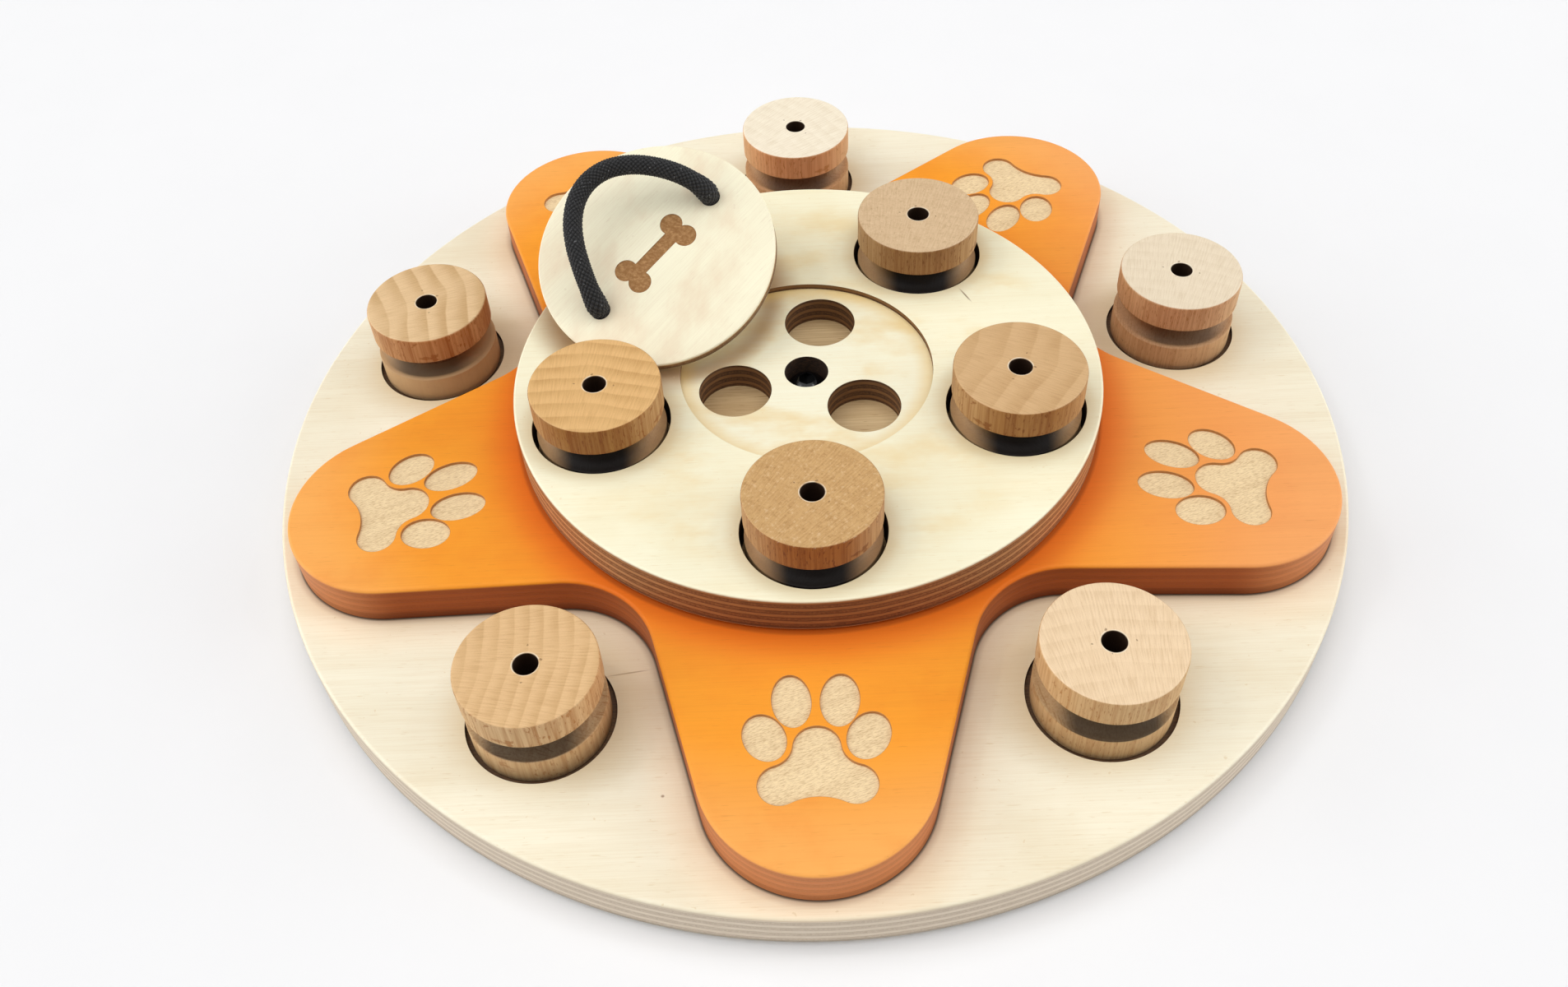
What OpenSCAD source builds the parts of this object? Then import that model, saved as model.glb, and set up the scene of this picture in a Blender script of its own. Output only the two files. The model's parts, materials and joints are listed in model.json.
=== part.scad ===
// Dog puzzle feeder. A round base board carries a five-armed star board. A
// turntable with treat cups spins on a bolt in the middle. Ten grooved pegs
// lift out of their pockets, and a lid with a rope handle leans on one peg.

/* [Base board] */
// Diameter of the round base board
base_d = 300; // [290:2:340]
// Thickness of the base board
base_t = 12; // [10:0.5:18]
// Distance from the base board's rim to the centres of its pegs
base_peg_inset = 33; // [28:1:34]
// Depth of the ledge pocket that a base peg stands in
ledge_depth = 1.6; // [1:0.2:3]
// Diameter of the treat well below the ledge
well_d = 26; // [20:1:30]
// Board left under a treat well
well_floor = 3; // [2:0.5:4]
// Rounding of the base board's rim
base_edge_r = 1; // [0.4:0.2:2]

/* [Star board] */
// Thickness of the star board
star_t = 12; // [10:0.5:18]
// Distance from the base board's rim to the tip of an arm
arm_inset = 4.5; // [4:0.5:12]
// Radius of an arm's round tip
arm_tip_r = 28.5; // [26:0.5:29]
// Angle at which an arm widens towards the hub, on each side
arm_taper = 16; // [14:0.5:18]
// Turn of the star board against the pegs in the base board
star_turn = -0.7; // [-1.5:0.1:1.5]
// Radius of the hollow between two arms
bay_r = 25.5; // [23:0.5:27]
// Depth of the engraved paw prints
paw_depth = 0.8; // [0.4:0.1:2]
// Distance from the tip of an arm to the middle of its paw print
paw_inset = 30.5; // [27:0.5:33]
// Length of a paw print, toes to heel
paw_len = 35; // [28:1:36]

/* [Turntable] */
// Diameter of the turntable
turntable_d = 162; // [158:1:166]
// Thickness of the turntable
turntable_t = 11.5; // [11:0.5:16]
// Distance from the turntable's rim to the centres of its pegs
turntable_peg_inset = 22.5; // [21:0.5:23]
// Board left under a peg pocket
pocket_floor = 1.6; // [1.2:0.2:3]
// Diameter of the lid's recess
recess_d = 70; // [66:1:72]
// Depth of the lid's recess
recess_depth = 1.8; // [1.4:0.2:3]
// Diameter of a treat cup
cup_d = 20; // [16:1:21]
// Distance of the treat cups from the pivot
cup_ring_r = 20.7; // [19.5:0.3:22]
// Board left under a treat cup
cup_floor = 1.7; // [1.2:0.1:3]
// Rounding of the turntable's rim
turntable_edge_r = 0.8; // [0.4:0.2:2]

/* [Pegs] */
// Diameter of a peg
peg_d = 35; // [32:0.5:36]
// Height of a peg
peg_h = 24; // [22:0.5:30]
// Height of the flange above the groove
peg_flange_t = 8.5; // [6:0.5:9]
// Width of the grip groove
groove_w = 6.8; // [5:0.2:8]
// Diameter of the scent hole through a peg
scent_hole_d = 6; // [4:0.5:8]
// Rounding of a peg's edges
peg_edge_r = 0.6; // [0.2:0.2:1.5]
// Gap between a peg and the wall of its pocket
peg_play = 1.2; // [0.6:0.1:1.4]

/* [Lid] */
// Thickness of the lid
lid_t = 3.5; // [3:0.5:5]
// Gap between the lid and the wall of its recess
lid_play = 1; // [0.5:0.1:1.5]
// Direction in which the leaning lid slopes down
lean_dir = -104; // [-106:1:-100]
// Distance from the peg that the lid leans on to the lid's foot
lean_reach = 48; // [46:0.5:50]
// Shift of the leaning lid to its side
lean_shift = -2; // [-3:0.5:0]
// Diameter of the rope
rope_d = 5.5; // [4:0.5:6]
// Distance of the rope holes from the lid's centre
rope_hole_ring_r = 22.5; // [22:0.5:24]
// Turn of the rope handle on the lid
rope_turn = -32; // [-40:1:-26]

/* [Pivot] */
// Diameter of the pivot bolt
bolt_d = 6; // [5:0.5:8]
// Diameter of the bolt's button head
bolt_head_d = 10.5; // [9.5:0.5:11]
// Height of the bolt's button head
bolt_head_h = 3.3; // [2.5:0.1:4]
// Width across flats of the bolt's socket
bolt_socket_w = 4; // [3:0.5:5]
// Board left under the bolt's washer
bearing_floor = 2.5; // [1.5:0.5:3]
// Diameter of the washer under the bolt's head
head_washer_d = 11; // [10.5:0.5:13]
// Thickness of the washer under the bolt's head
head_washer_t = 1.2; // [0.8:0.2:1.6]
// Diameter of the slip washer under the turntable
slip_washer_d = 40; // [30:2:60]
// Thickness of the slip washer under the turntable
slip_washer_t = 0.5; // [0.3:0.1:2]
// Diameter of the tee nut's flange
tee_flange_d = 19; // [16:1:24]
// Thickness of the tee nut's flange
tee_flange_t = 1.2; // [0.8:0.2:2]
// Diameter of the tee nut's barrel
tee_barrel_d = 8.5; // [8:0.5:11]
// Height of the tee nut's barrel above its flange
tee_barrel_h = 7; // [5:0.5:8]

/* [Feet and screws] */
// Diameter of a foot pad
foot_d = 20; // [14:1:24]
// Thickness of a foot pad
foot_t = 1.5; // [1:0.5:4]
// Distance from the base board's rim to the centres of the foot pads
foot_inset = 18; // [16:1:24]
// Diameter of a star screw
screw_d = 3.5; // [3:0.5:4.5]
// Diameter of a star screw's head
screw_head_d = 7; // [6:0.5:9]
// Length of a star screw
screw_len = 20; // [15:1:20]
// Distance of the star screws from the pivot
screw_ring_r = 96; // [90:1:112]

/* [Fits] */
// Running clearance around the bolt
running_play = 0.05; // [0.02:0.01:0.1]
// Play of the turntable along the bolt
axial_play = 0.1; // [0.05:0.05:0.3]
// Clearance between a piece and the hole it is fixed in
fixed_play = 0.1; // [0.05:0.05:0.2]
// Clearance between a resting piece and its seat
seat_play = 0.2; // [0.1:0.1:0.4]
// Clearance under the leaning lid
lean_play = 0.3; // [0.2:0.1:0.5]

/* [Hidden] */

// Colours
birch = [0.93, 0.87, 0.74];
beech = [0.85, 0.69, 0.50];
orange_paint = [0.95, 0.58, 0.18];
black = [0.07, 0.07, 0.08];
steel = [0.72, 0.72, 0.70];
nylon = [0.90, 0.90, 0.88];

// Resolution of circles and a margin that lets cutters pass a face
round_fn = 96;
small_fn = 48;
cut = 0.5;

// Five arms, with five bays between them
arm_count = 5;
sector = 360 / arm_count;
first_arm = 270 + star_turn;
first_bay = 90;
cup_count = 3;
cup_turn = 77.6;
prong_count = 4;

// Levels, from the floor up
base_z = foot_t;
star_z = base_z + base_t;
slip_z = star_z + star_t;
turntable_z = slip_z + slip_washer_t + axial_play;
turntable_top = turntable_z + turntable_t;
recess_z = turntable_top - recess_depth;
bearing_z = turntable_z + bearing_floor;
head_washer_z = bearing_z + axial_play;
bolt_head_z = head_washer_z + head_washer_t;
base_peg_z = star_z - ledge_depth + seat_play;
turntable_peg_z = turntable_z + pocket_floor + seat_play;

// Sizes that follow from the ones above
base_peg_ring_r = base_d / 2 - base_peg_inset;
turntable_peg_ring_r = turntable_d / 2 - turntable_peg_inset;
foot_ring_r = base_d / 2 - foot_inset;
arm_reach = base_d / 2 - arm_inset;
paw_ring_r = arm_reach - paw_inset;
pocket_d = peg_d + 2 * peg_play;
groove_r = groove_w / 2;
lid_r = recess_d / 2 - lid_play;
rope_hole_d = rope_d + 2 * fixed_play;
counterbore_d = head_washer_d + 1;
bolt_end_z = base_z + tee_flange_t + 1;
socket_depth = bolt_head_h * 0.6;
tee_seat_depth = tee_flange_t + fixed_play;
screw_head_h = (screw_head_d - screw_d) / 2;
screw_sink = 0.4;
screw_slot_w = 0.9;
prong_w = 2.4;
prong_t = 1;
prong_h = 5;
prong_ring_r = tee_flange_d / 2 - prong_t;
mouth_chamfer = 0.1;
lid_edge_r = 0.5;
foot_edge_r = 0.4;

// The lid's pose: it slopes from the rim of peg 5 down to the turntable
lean_peg_angle = first_bay + sector / 2;
lean_peg = turntable_peg_ring_r * [cos(lean_peg_angle), sin(lean_peg_angle)];
lean_drop = turntable_peg_z + peg_h - turntable_top;
lean_tilt = atan(lean_drop / (lean_reach - peg_d / 2));
lean_foot = lean_peg + lean_reach * [cos(lean_dir), sin(lean_dir)]
    + lean_shift * [-sin(lean_dir), cos(lean_dir)];

// Route of the rope: along the line of its holes, to its side, and above the
// lid's top, drawn for one ring of holes and stretched to the lid's own
rope_drawn_ring_r = 22.5;
rope_drawn = [
    [22.5, 0, -3.2], [22.5, 0, 0], [22.3, -0.8, 3], [21, -3.5, 6],
    [18.5, -8, 9], [15, -13.5, 11], [10.5, -18.5, 12.3], [5, -22, 13],
    [-1, -23.2, 13.2], [-7, -21.8, 13], [-12.2, -18, 12.4],
    [-16.3, -13, 11.2], [-19.4, -7.8, 9.2], [-21.4, -3.4, 6.2],
    [-22.3, -0.8, 3], [-22.5, 0, 0], [-22.5, 0, -3.2]
];
rope_route = [
    for (p = rope_drawn) [p[0] * rope_hole_ring_r / rope_drawn_ring_r, p[1], p[2]]
];
rope_sides = 12;
// A direction that the rope never runs along: across the plane of its arch
rope_side_ref = [0, 13, 23];

// Points along an arc, from angle a0 to a1
function arc(centre, r, a0, a1, n) =
    [for (i = [0:n]) centre + r * [cos(a0 + (a1 - a0) * i / n), sin(a0 + (a1 - a0) * i / n)]];
// A point turned about the origin
function turned(p, a) = [p[0] * cos(a) - p[1] * sin(a), p[0] * sin(a) + p[1] * cos(a)];
// Centre of a circle of radius r that touches the outside of two circles, on
// the left of the way from the first to the second
function touching(c1, r1, c2, r2, r) =
    let (d = norm(c2 - c1), u = (c2 - c1) / d,
         along = ((r1 + r) ^ 2 - (r2 + r) ^ 2 + d ^ 2) / (2 * d),
         aside = sqrt((r1 + r) ^ 2 - along ^ 2))
    c1 + along * u + aside * [-u[1], u[0]];
function heading(from, to) = atan2(to[1] - from[1], to[0] - from[0]);

// Outline of the star: round tips, straight sides and hollow bays, all tangent
tip_c = arm_reach - arm_tip_r;
// Where a side line, drawn on towards the hub, meets the line between two arms
side_meet_r = (arm_tip_r / cos(arm_taper) + tip_c * tan(arm_taper))
    / (sin(sector / 2) + cos(sector / 2) * tan(arm_taper));
bay_c = side_meet_r + bay_r / sin(sector / 2 + arm_taper);
tip_turn = 90 - arm_taper;
bay_turn = 90 - sector / 2 - arm_taper;
function star_points() = [
    for (i = [0:arm_count - 1])
        let (a = first_arm + sector * i)
        for (p = concat(
            arc(turned([tip_c, 0], a), arm_tip_r, a - tip_turn, a + tip_turn, 24),
            arc(turned([bay_c, 0], a + sector / 2), bay_r,
                a + sector / 2 + 180 + bay_turn, a + sector / 2 + 180 - bay_turn, 14)
        )) p
];

module star_outline() polygon(star_points());

// One paw print around [0, 0], toes towards +Y, drawn 35 long and then scaled
paw_drawn_len = 35;
toe_inner = [5.75, 14.1, 4.7, 7.3, -5];
toe_outer = [12.15, 4.3, 5, 6.5, -22];
pad_top = [0, 1.5];
pad_top_r = 5.6;
pad_lobe = [8.7, -8.2];
pad_lobe_r = 5.1;
pad_side_r = 6;
pad_heel_r = 14;
pad_side = touching(pad_top, pad_top_r, pad_lobe, pad_lobe_r, pad_side_r);
pad_heel = [0, pad_lobe[1] - sqrt((pad_lobe_r + pad_heel_r) ^ 2 - pad_lobe[0] ^ 2)];

function ellipse(x, y, rx, ry, a, n) =
    [for (i = [0:n - 1]) [x, y] + turned([rx * cos(360 * i / n), ry * sin(360 * i / n)], a)];
function mirrored(points) = [for (i = [len(points) - 1:-1:0]) [-points[i][0], points[i][1]]];

// Right half of the pad, from the middle of the heel to the middle of the top
function pad_half() = concat(
    arc(pad_heel, pad_heel_r, 90, heading(pad_heel, pad_lobe), 4),
    arc(pad_lobe, pad_lobe_r, heading(pad_lobe, pad_heel), heading(pad_lobe, pad_side), 12),
    arc(pad_side, pad_side_r, heading(pad_side, pad_lobe) + 360, heading(pad_side, pad_top) + 360, 5),
    arc(pad_top, pad_top_r, heading(pad_top, pad_side), 90, 6)
);

module toe(t) polygon(ellipse(t[0], t[1], t[2], t[3], t[4], 24));

module paw_outline() scale(paw_len / paw_drawn_len) {
    for (side = [0, 1]) mirror([side, 0]) {
        toe(toe_inner);
        toe(toe_outer);
    }
    polygon(concat(pad_half(), mirrored(pad_half())));
}

// A disc with rounded edges, standing on z = 0
module rounded_disc(d, t, edge_r) {
    r = d / 2;
    rotate_extrude($fn = round_fn) polygon(concat(
        [[0, 0]],
        arc([r - edge_r, edge_r], edge_r, -90, 0, 4),
        arc([r - edge_r, t - edge_r], edge_r, 0, 90, 4),
        [[0, t]]
    ));
}

// A cutter for a round blind hole with a chamfered mouth, mouth at z = 0
module hole_cutter(d, depth, chamfer) {
    translate([0, 0, -depth]) cylinder(d = d, h = depth + cut, $fn = small_fn);
    translate([0, 0, -chamfer])
        cylinder(d1 = d, d2 = d + 2 * (chamfer + cut), h = chamfer + cut, $fn = small_fn);
}

// Children at a distance from the pivot, turned so that +X leads outwards
module on_ring(r, a) rotate([0, 0, a]) translate([r, 0, 0]) children();

module base_board() color(birch) difference() {
    translate([0, 0, base_z]) rounded_disc(base_d, base_t, base_edge_r);
    for (i = [0:arm_count - 1]) {
        translate([0, 0, star_z]) on_ring(base_peg_ring_r, first_bay + sector * i) {
            hole_cutter(pocket_d, ledge_depth, mouth_chamfer);
            hole_cutter(well_d, base_t - well_floor, 0);
        }
        on_ring(screw_ring_r, first_arm + sector * i) screw_hole();
    }
    translate([0, 0, base_z - cut]) {
        cylinder(d = bolt_d + 2 * fixed_play, h = base_t + 2 * cut, $fn = small_fn);
        cylinder(d = tee_barrel_d + 2 * fixed_play,
            h = cut + tee_flange_t + tee_barrel_h + fixed_play, $fn = small_fn);
        cylinder(d = tee_flange_d + 2 * fixed_play, h = cut + tee_seat_depth, $fn = small_fn);
    }
    tee_prongs(fixed_play);
}

module star_board() color(orange_paint) difference() {
    translate([0, 0, star_z]) linear_extrude(star_t) star_outline();
    for (i = [0:arm_count - 1]) {
        translate([0, 0, slip_z - paw_depth]) on_ring(paw_ring_r, first_arm + sector * i)
            rotate([0, 0, 90]) linear_extrude(paw_depth + cut) paw_outline();
        on_ring(screw_ring_r, first_arm + sector * i) screw_hole();
    }
    translate([0, 0, star_z - cut])
        cylinder(d = bolt_d + 2 * fixed_play, h = star_t + 2 * cut, $fn = small_fn);
}

module turntable() color(birch) difference() {
    translate([0, 0, turntable_z]) rounded_disc(turntable_d, turntable_t, turntable_edge_r);
    translate([0, 0, turntable_top]) {
        hole_cutter(recess_d, recess_depth, mouth_chamfer);
        for (i = [0:arm_count - 1])
            on_ring(turntable_peg_ring_r, first_bay + sector * (i - 0.5))
                hole_cutter(pocket_d, turntable_t - pocket_floor, mouth_chamfer);
    }
    translate([0, 0, recess_z]) {
        for (i = [0:cup_count - 1])
            on_ring(cup_ring_r, cup_turn + 360 / cup_count * i)
                hole_cutter(cup_d, turntable_t - recess_depth - cup_floor, mouth_chamfer);
        hole_cutter(counterbore_d, recess_z - bearing_z, mouth_chamfer);
    }
    translate([0, 0, turntable_z - cut])
        cylinder(d = bolt_d + 2 * running_play, h = turntable_t, $fn = small_fn);
}

// A spool: two flanges, a round grip groove and a scent hole, on z = 0
module peg() {
    r = peg_d / 2;
    hole_r = scent_hole_d / 2;
    groove_z = peg_h - peg_flange_t - groove_r;
    color(beech) rotate_extrude($fn = round_fn) polygon(concat(
        [[hole_r, peg_edge_r / 2], [hole_r + peg_edge_r / 2, 0]],
        arc([r - peg_edge_r, peg_edge_r], peg_edge_r, -90, 0, 3),
        arc([r, groove_z], groove_r, 270, 90, 10),
        arc([r - peg_edge_r, peg_h - peg_edge_r], peg_edge_r, 0, 90, 3),
        [[hole_r + peg_edge_r / 2, peg_h], [hole_r, peg_h - peg_edge_r / 2]]
    ));
}

// Base pegs stand in the bays, turntable pegs over the arms
module base_peg(k)
    translate([0, 0, base_peg_z])
        on_ring(base_peg_ring_r, first_bay - sector * (k - 1)) peg();
module turntable_peg(k)
    translate([0, 0, turntable_peg_z])
        on_ring(turntable_peg_ring_r, first_bay - sector * (k - 0.5)) peg();

// The leaning lid's frame: +X leads down its slope, its underside is z = 0
module lid_frame()
    translate([lean_foot[0], lean_foot[1], turntable_top])
        rotate([0, 0, lean_dir]) rotate([0, lean_tilt, 0])
            translate([-lid_r, 0, lean_play]) children();

module lid() color(birch) lid_frame() difference() {
    rounded_disc(2 * lid_r, lid_t, lid_edge_r);
    for (side = [0, 180])
        rotate([0, 0, rope_turn + side]) translate([rope_hole_ring_r, 0, -cut])
            cylinder(d = rope_hole_d, h = lid_t + 2 * cut, $fn = small_fn);
}

// A round tube through the points of a route
module rope_tube(route, d, sides) {
    last = len(route) - 1;
    rings = [
        for (i = [0:last])
            let (ahead = route[min(i + 1, last)] - route[max(i - 1, 0)],
                 t = ahead / norm(ahead),
                 across = cross(t, rope_side_ref),
                 u = across / norm(across),
                 v = cross(t, u))
            for (k = [0:sides - 1])
                route[i] + d / 2 * (cos(360 * k / sides) * u + sin(360 * k / sides) * v)
    ];
    walls = [
        for (i = [0:last - 1], k = [0:sides - 1])
            let (m = (k + 1) % sides)
            [i * sides + k, i * sides + m, (i + 1) * sides + m, (i + 1) * sides + k]
    ];
    ends = [[for (k = [sides - 1:-1:0]) k], [for (k = [0:sides - 1]) last * sides + k]];
    polyhedron(rings, concat(walls, ends));
}

module rope_handle() color(black) lid_frame()
    rotate([0, 0, rope_turn]) translate([0, 0, lid_t])
        rope_tube(rope_route, rope_d, rope_sides);

module pivot_bolt() {
    head_r = bolt_head_d / 2;
    rim = bolt_head_h / 4;
    color(black) difference() {
        translate([0, 0, bolt_head_z]) rotate_extrude($fn = small_fn) polygon(concat(
            [[0, bolt_end_z - bolt_head_z], [bolt_d / 2 - 0.5, bolt_end_z - bolt_head_z],
             [bolt_d / 2, bolt_end_z - bolt_head_z + 0.5], [bolt_d / 2, 0], [head_r, 0]],
            [for (i = [0:6]) [head_r * (0.5 + 0.5 * cos(15 * i)),
                rim + (bolt_head_h - rim) * sin(15 * i)]],
            [[0, bolt_head_h]]
        ));
        translate([0, 0, bolt_head_z + bolt_head_h - socket_depth])
            cylinder(d = bolt_socket_w / cos(30), h = socket_depth + cut, $fn = 6);
    }
}

module washer(d, t) difference() {
    cylinder(d = d, h = t, $fn = small_fn);
    translate([0, 0, -cut])
        cylinder(d = bolt_d + 2 * fixed_play, h = t + 2 * cut, $fn = small_fn);
}
module head_washer() color(steel) translate([0, 0, head_washer_z])
    washer(head_washer_d, head_washer_t);
module slip_washer() color(nylon) translate([0, 0, slip_z])
    washer(slip_washer_d, slip_washer_t);

// Four pointed prongs that hold the tee nut in the board, or their slots
module tee_prongs(play) {
    half = prong_w / 2 + play;
    for (i = [0:prong_count - 1])
        on_ring(prong_ring_r - prong_t - play, 360 / prong_count * (i + 0.5))
            translate([0, 0, base_z + tee_flange_t]) rotate([90, 0, 90])
                linear_extrude(prong_t + 2 * play)
                    polygon([[-half, 0], [half, 0], [half, prong_h / 2],
                        [0, prong_h + play], [-half, prong_h / 2]]);
}
module tee_nut() color(steel) {
    difference() {
        translate([0, 0, base_z + fixed_play]) union() {
            cylinder(d = tee_flange_d, h = tee_flange_t, $fn = small_fn);
            cylinder(d = tee_barrel_d, h = tee_flange_t + tee_barrel_h - fixed_play,
                $fn = small_fn);
        }
        translate([0, 0, base_z - cut])
            cylinder(d = bolt_d + 2 * running_play, h = base_t + cut, $fn = small_fn);
    }
    tee_prongs(0);
}

// A countersunk screw, driven up from below at the origin
module screw_shape(play) {
    head_z = base_z + screw_sink;
    r = screw_d / 2 + play;
    head_r = screw_head_d / 2 + play;
    rotate_extrude($fn = small_fn) polygon([
        [0, head_z], [head_r, head_z], [r, head_z + screw_head_h],
        [r, head_z + screw_len - screw_d + play], [0, head_z + screw_len + play]
    ]);
}
module screw_hole() {
    screw_shape(fixed_play);
    translate([0, 0, base_z - cut])
        cylinder(r = screw_head_d / 2 + fixed_play, h = screw_sink + cut, $fn = small_fn);
}
module star_screws() color(steel)
    for (i = [0:arm_count - 1]) on_ring(screw_ring_r, first_arm + sector * i) difference() {
        screw_shape(0);
        for (a = [0, 90]) rotate([0, 0, a])
            translate([-screw_d / 2, -screw_slot_w / 2, base_z + screw_sink - cut])
                cube([screw_d, screw_slot_w, screw_head_h * 0.7 + cut]);
    }

module foot(k) color(black) on_ring(foot_ring_r, first_arm + sector * (k - 1))
    rotate_extrude($fn = small_fn) polygon([
        [0, 0], [foot_d / 2 - foot_edge_r, 0], [foot_d / 2, foot_edge_r],
        [foot_d / 2, foot_t], [0, foot_t]
    ]);

base_board();
star_board();
turntable();
base_peg(1);  // base_peg_1
base_peg(2);  // base_peg_2
base_peg(3);  // base_peg_3
base_peg(4);  // base_peg_4
base_peg(5);  // base_peg_5
turntable_peg(1);  // turntable_peg_1
turntable_peg(2);  // turntable_peg_2
turntable_peg(3);  // turntable_peg_3
turntable_peg(4);  // turntable_peg_4
turntable_peg(5);  // turntable_peg_5
lid();
rope_handle();
pivot_bolt();
head_washer();
slip_washer();
tee_nut();
star_screws();
foot(1);  // foot_1
foot(2);  // foot_2
foot(3);  // foot_3
foot(4);  // foot_4
foot(5);  // foot_5
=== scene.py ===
"""A dog puzzle feeder: two birch boards, a stained star, ten beech pegs and a lid with a rope."""
import json
import math

import bmesh
import bpy
import numpy as np
from bpy.props import FloatProperty, FloatVectorProperty, PointerProperty
from mathutils import Matrix, Vector, geometry


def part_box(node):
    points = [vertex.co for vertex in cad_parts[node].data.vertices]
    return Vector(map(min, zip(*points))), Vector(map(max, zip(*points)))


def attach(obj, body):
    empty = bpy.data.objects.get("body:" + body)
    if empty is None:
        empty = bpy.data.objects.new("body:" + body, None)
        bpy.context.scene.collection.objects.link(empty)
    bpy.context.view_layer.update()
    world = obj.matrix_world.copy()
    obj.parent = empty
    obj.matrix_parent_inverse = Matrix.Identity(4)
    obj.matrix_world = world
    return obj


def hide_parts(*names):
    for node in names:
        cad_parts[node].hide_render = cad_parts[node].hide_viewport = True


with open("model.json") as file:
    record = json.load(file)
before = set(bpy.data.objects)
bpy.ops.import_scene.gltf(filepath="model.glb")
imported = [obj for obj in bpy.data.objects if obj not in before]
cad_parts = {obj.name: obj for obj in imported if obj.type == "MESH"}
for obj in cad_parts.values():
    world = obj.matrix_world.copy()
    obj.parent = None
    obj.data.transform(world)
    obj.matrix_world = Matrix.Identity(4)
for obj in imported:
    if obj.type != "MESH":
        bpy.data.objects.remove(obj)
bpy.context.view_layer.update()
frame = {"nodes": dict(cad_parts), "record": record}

bl_info = {
    "name": "Dog puzzle feeder",
    "version": (1, 0, 0),
    "blender": (4, 5, 0),
    "location": "3D View > Sidebar > Puzzle feeder",
    "description": "Dresses the frame of a dog puzzle feeder in wood, stain, rope and metal",
    "category": "Object",
}

BODY_OF = {node: body for body, nodes in frame["record"]["behaviour"]["bodies"].items()
           for node in nodes}
MM = 0.001
WELD = 1e-6
ARMS = 5
SECTOR = 360 / ARMS
PLIES = 9


# ---------------------------------------------------------------- settings

def length(name, description, millimetres):
    """A length that is kept in metres and given in millimetres."""
    return FloatProperty(name=name, description=description, default=millimetres * MM,
                         precision=5, subtype="DISTANCE", unit="LENGTH")


def angle(name, description, degrees):
    """An angle that is kept in radians and given in degrees."""
    return FloatProperty(name=name, description=description, default=math.radians(degrees),
                         subtype="ANGLE", unit="ROTATION")


def linear(red, green, blue):
    """Colour picker numbers from 0 to 255 as linear light: ((c + 0.055) / 1.055) ^ 2.4."""
    part = np.array([red, green, blue]) / 255
    light = np.where(part <= 0.04045, part / 12.92, ((part + 0.055) / 1.055) ** 2.4)
    return tuple(float(x) for x in light) + (1.0,)


def tint(name, description, red, green, blue):
    """A colour that is given in colour picker numbers from 0 to 255."""
    return FloatVectorProperty(name=name, description=description, subtype="COLOR", size=4,
                               min=0.0, max=1.0, default=linear(red, green, blue))


class FeederBoards(bpy.types.PropertyGroup):
    """Sizes of the base board and the star"""
    base_edge: length("Base edge", "Rounding of the base board's rim", 1.0)
    pocket_width: length("Pocket width", "Width of a peg's pocket", 37.4)
    ledge_depth: length("Ledge depth", "Depth of the ledge that a base peg stands on", 1.6)
    well_width: length("Well width", "Width of the treat well under a base peg", 26.0)
    well_floor: length("Well floor", "Board left under a treat well", 3.0)
    mouth: length("Mouth rounding", "Rounding at the mouth of a pocket", 0.1)
    star_turn: angle("Star turn", "Turn of the star against the pegs", -0.7)
    star_edge: length("Star edge", "Rounding of the star's upper edge", 0.9)
    tip_radius: length("Tip radius", "Radius of an arm's round tip", 28.5)
    bay_radius: length("Bay radius", "Radius of the hollow between two arms", 25.5)
    taper: angle("Taper", "Angle at which an arm's side widens to the hub", 16.0)
    paw_depth: length("Paw depth", "Depth of the engraved paw prints", 0.8)
    paw_inset: length("Paw inset", "From the tip of an arm to the middle of its paw print", 30.5)
    screw_ring: length("Screw ring", "Distance of the star screws from the pivot", 96.0)
    screw_width: length("Screw hole", "Width of a star screw's hole", 3.7)
    screw_head: length("Screw head", "Width of a star screw's countersink", 7.2)


class FeederTurntable(bpy.types.PropertyGroup):
    """Sizes of the turntable and its pivot"""
    edge: length("Edge", "Rounding of the turntable's rim", 0.8)
    pocket_floor: length("Pocket floor", "Board left under a peg's pocket", 1.6)
    recess_width: length("Recess width", "Width of the lid's recess", 70.0)
    recess_depth: length("Recess depth", "Depth of the lid's recess", 1.8)
    cup_width: length("Cup width", "Width of a treat cup", 20.0)
    cup_ring: length("Cup ring", "Distance of the treat cups from the pivot", 20.7)
    cup_floor: length("Cup floor", "Board left under a treat cup", 1.7)
    cup_turn: angle("Cup turn", "Direction of the first treat cup", 77.6)
    counterbore: length("Counterbore", "Width of the counterbore for the bolt's head", 12.0)
    bearing_floor: length("Bearing floor", "Board left under the bolt's washer", 2.5)
    bolt_hole: length("Bolt hole", "Width of the hole for the bolt", 6.2)
    tee_width: length("Tee nut seat", "Width of the seat for the tee nut's flange", 19.2)
    tee_depth: length("Tee nut depth", "Depth of the seat for the tee nut's flange", 1.3)
    tee_barrel: length("Tee nut bore", "Width of the bore for the tee nut's barrel", 8.7)
    tee_bore: length("Tee nut bore depth", "Depth of the bore for the tee nut's barrel", 8.3)
    socket: length("Socket", "Width across flats of the bolt's socket", 4.0)


class FeederPegs(bpy.types.PropertyGroup):
    """Sizes of a peg"""
    flange: length("Upper flange", "Height of the flange above the groove", 8.5)
    groove: length("Groove", "Width of the round grip groove", 6.8)
    groove_lip: length("Groove lip", "Rounding where the groove meets a flange", 0.3)
    edge: length("Edge", "Rounding of a flange's edges", 0.6)
    hole: length("Scent hole", "Width of the hole through a peg", 6.0)
    hole_edge: length("Hole edge", "Rounding of the hole's edges", 0.35)


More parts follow.
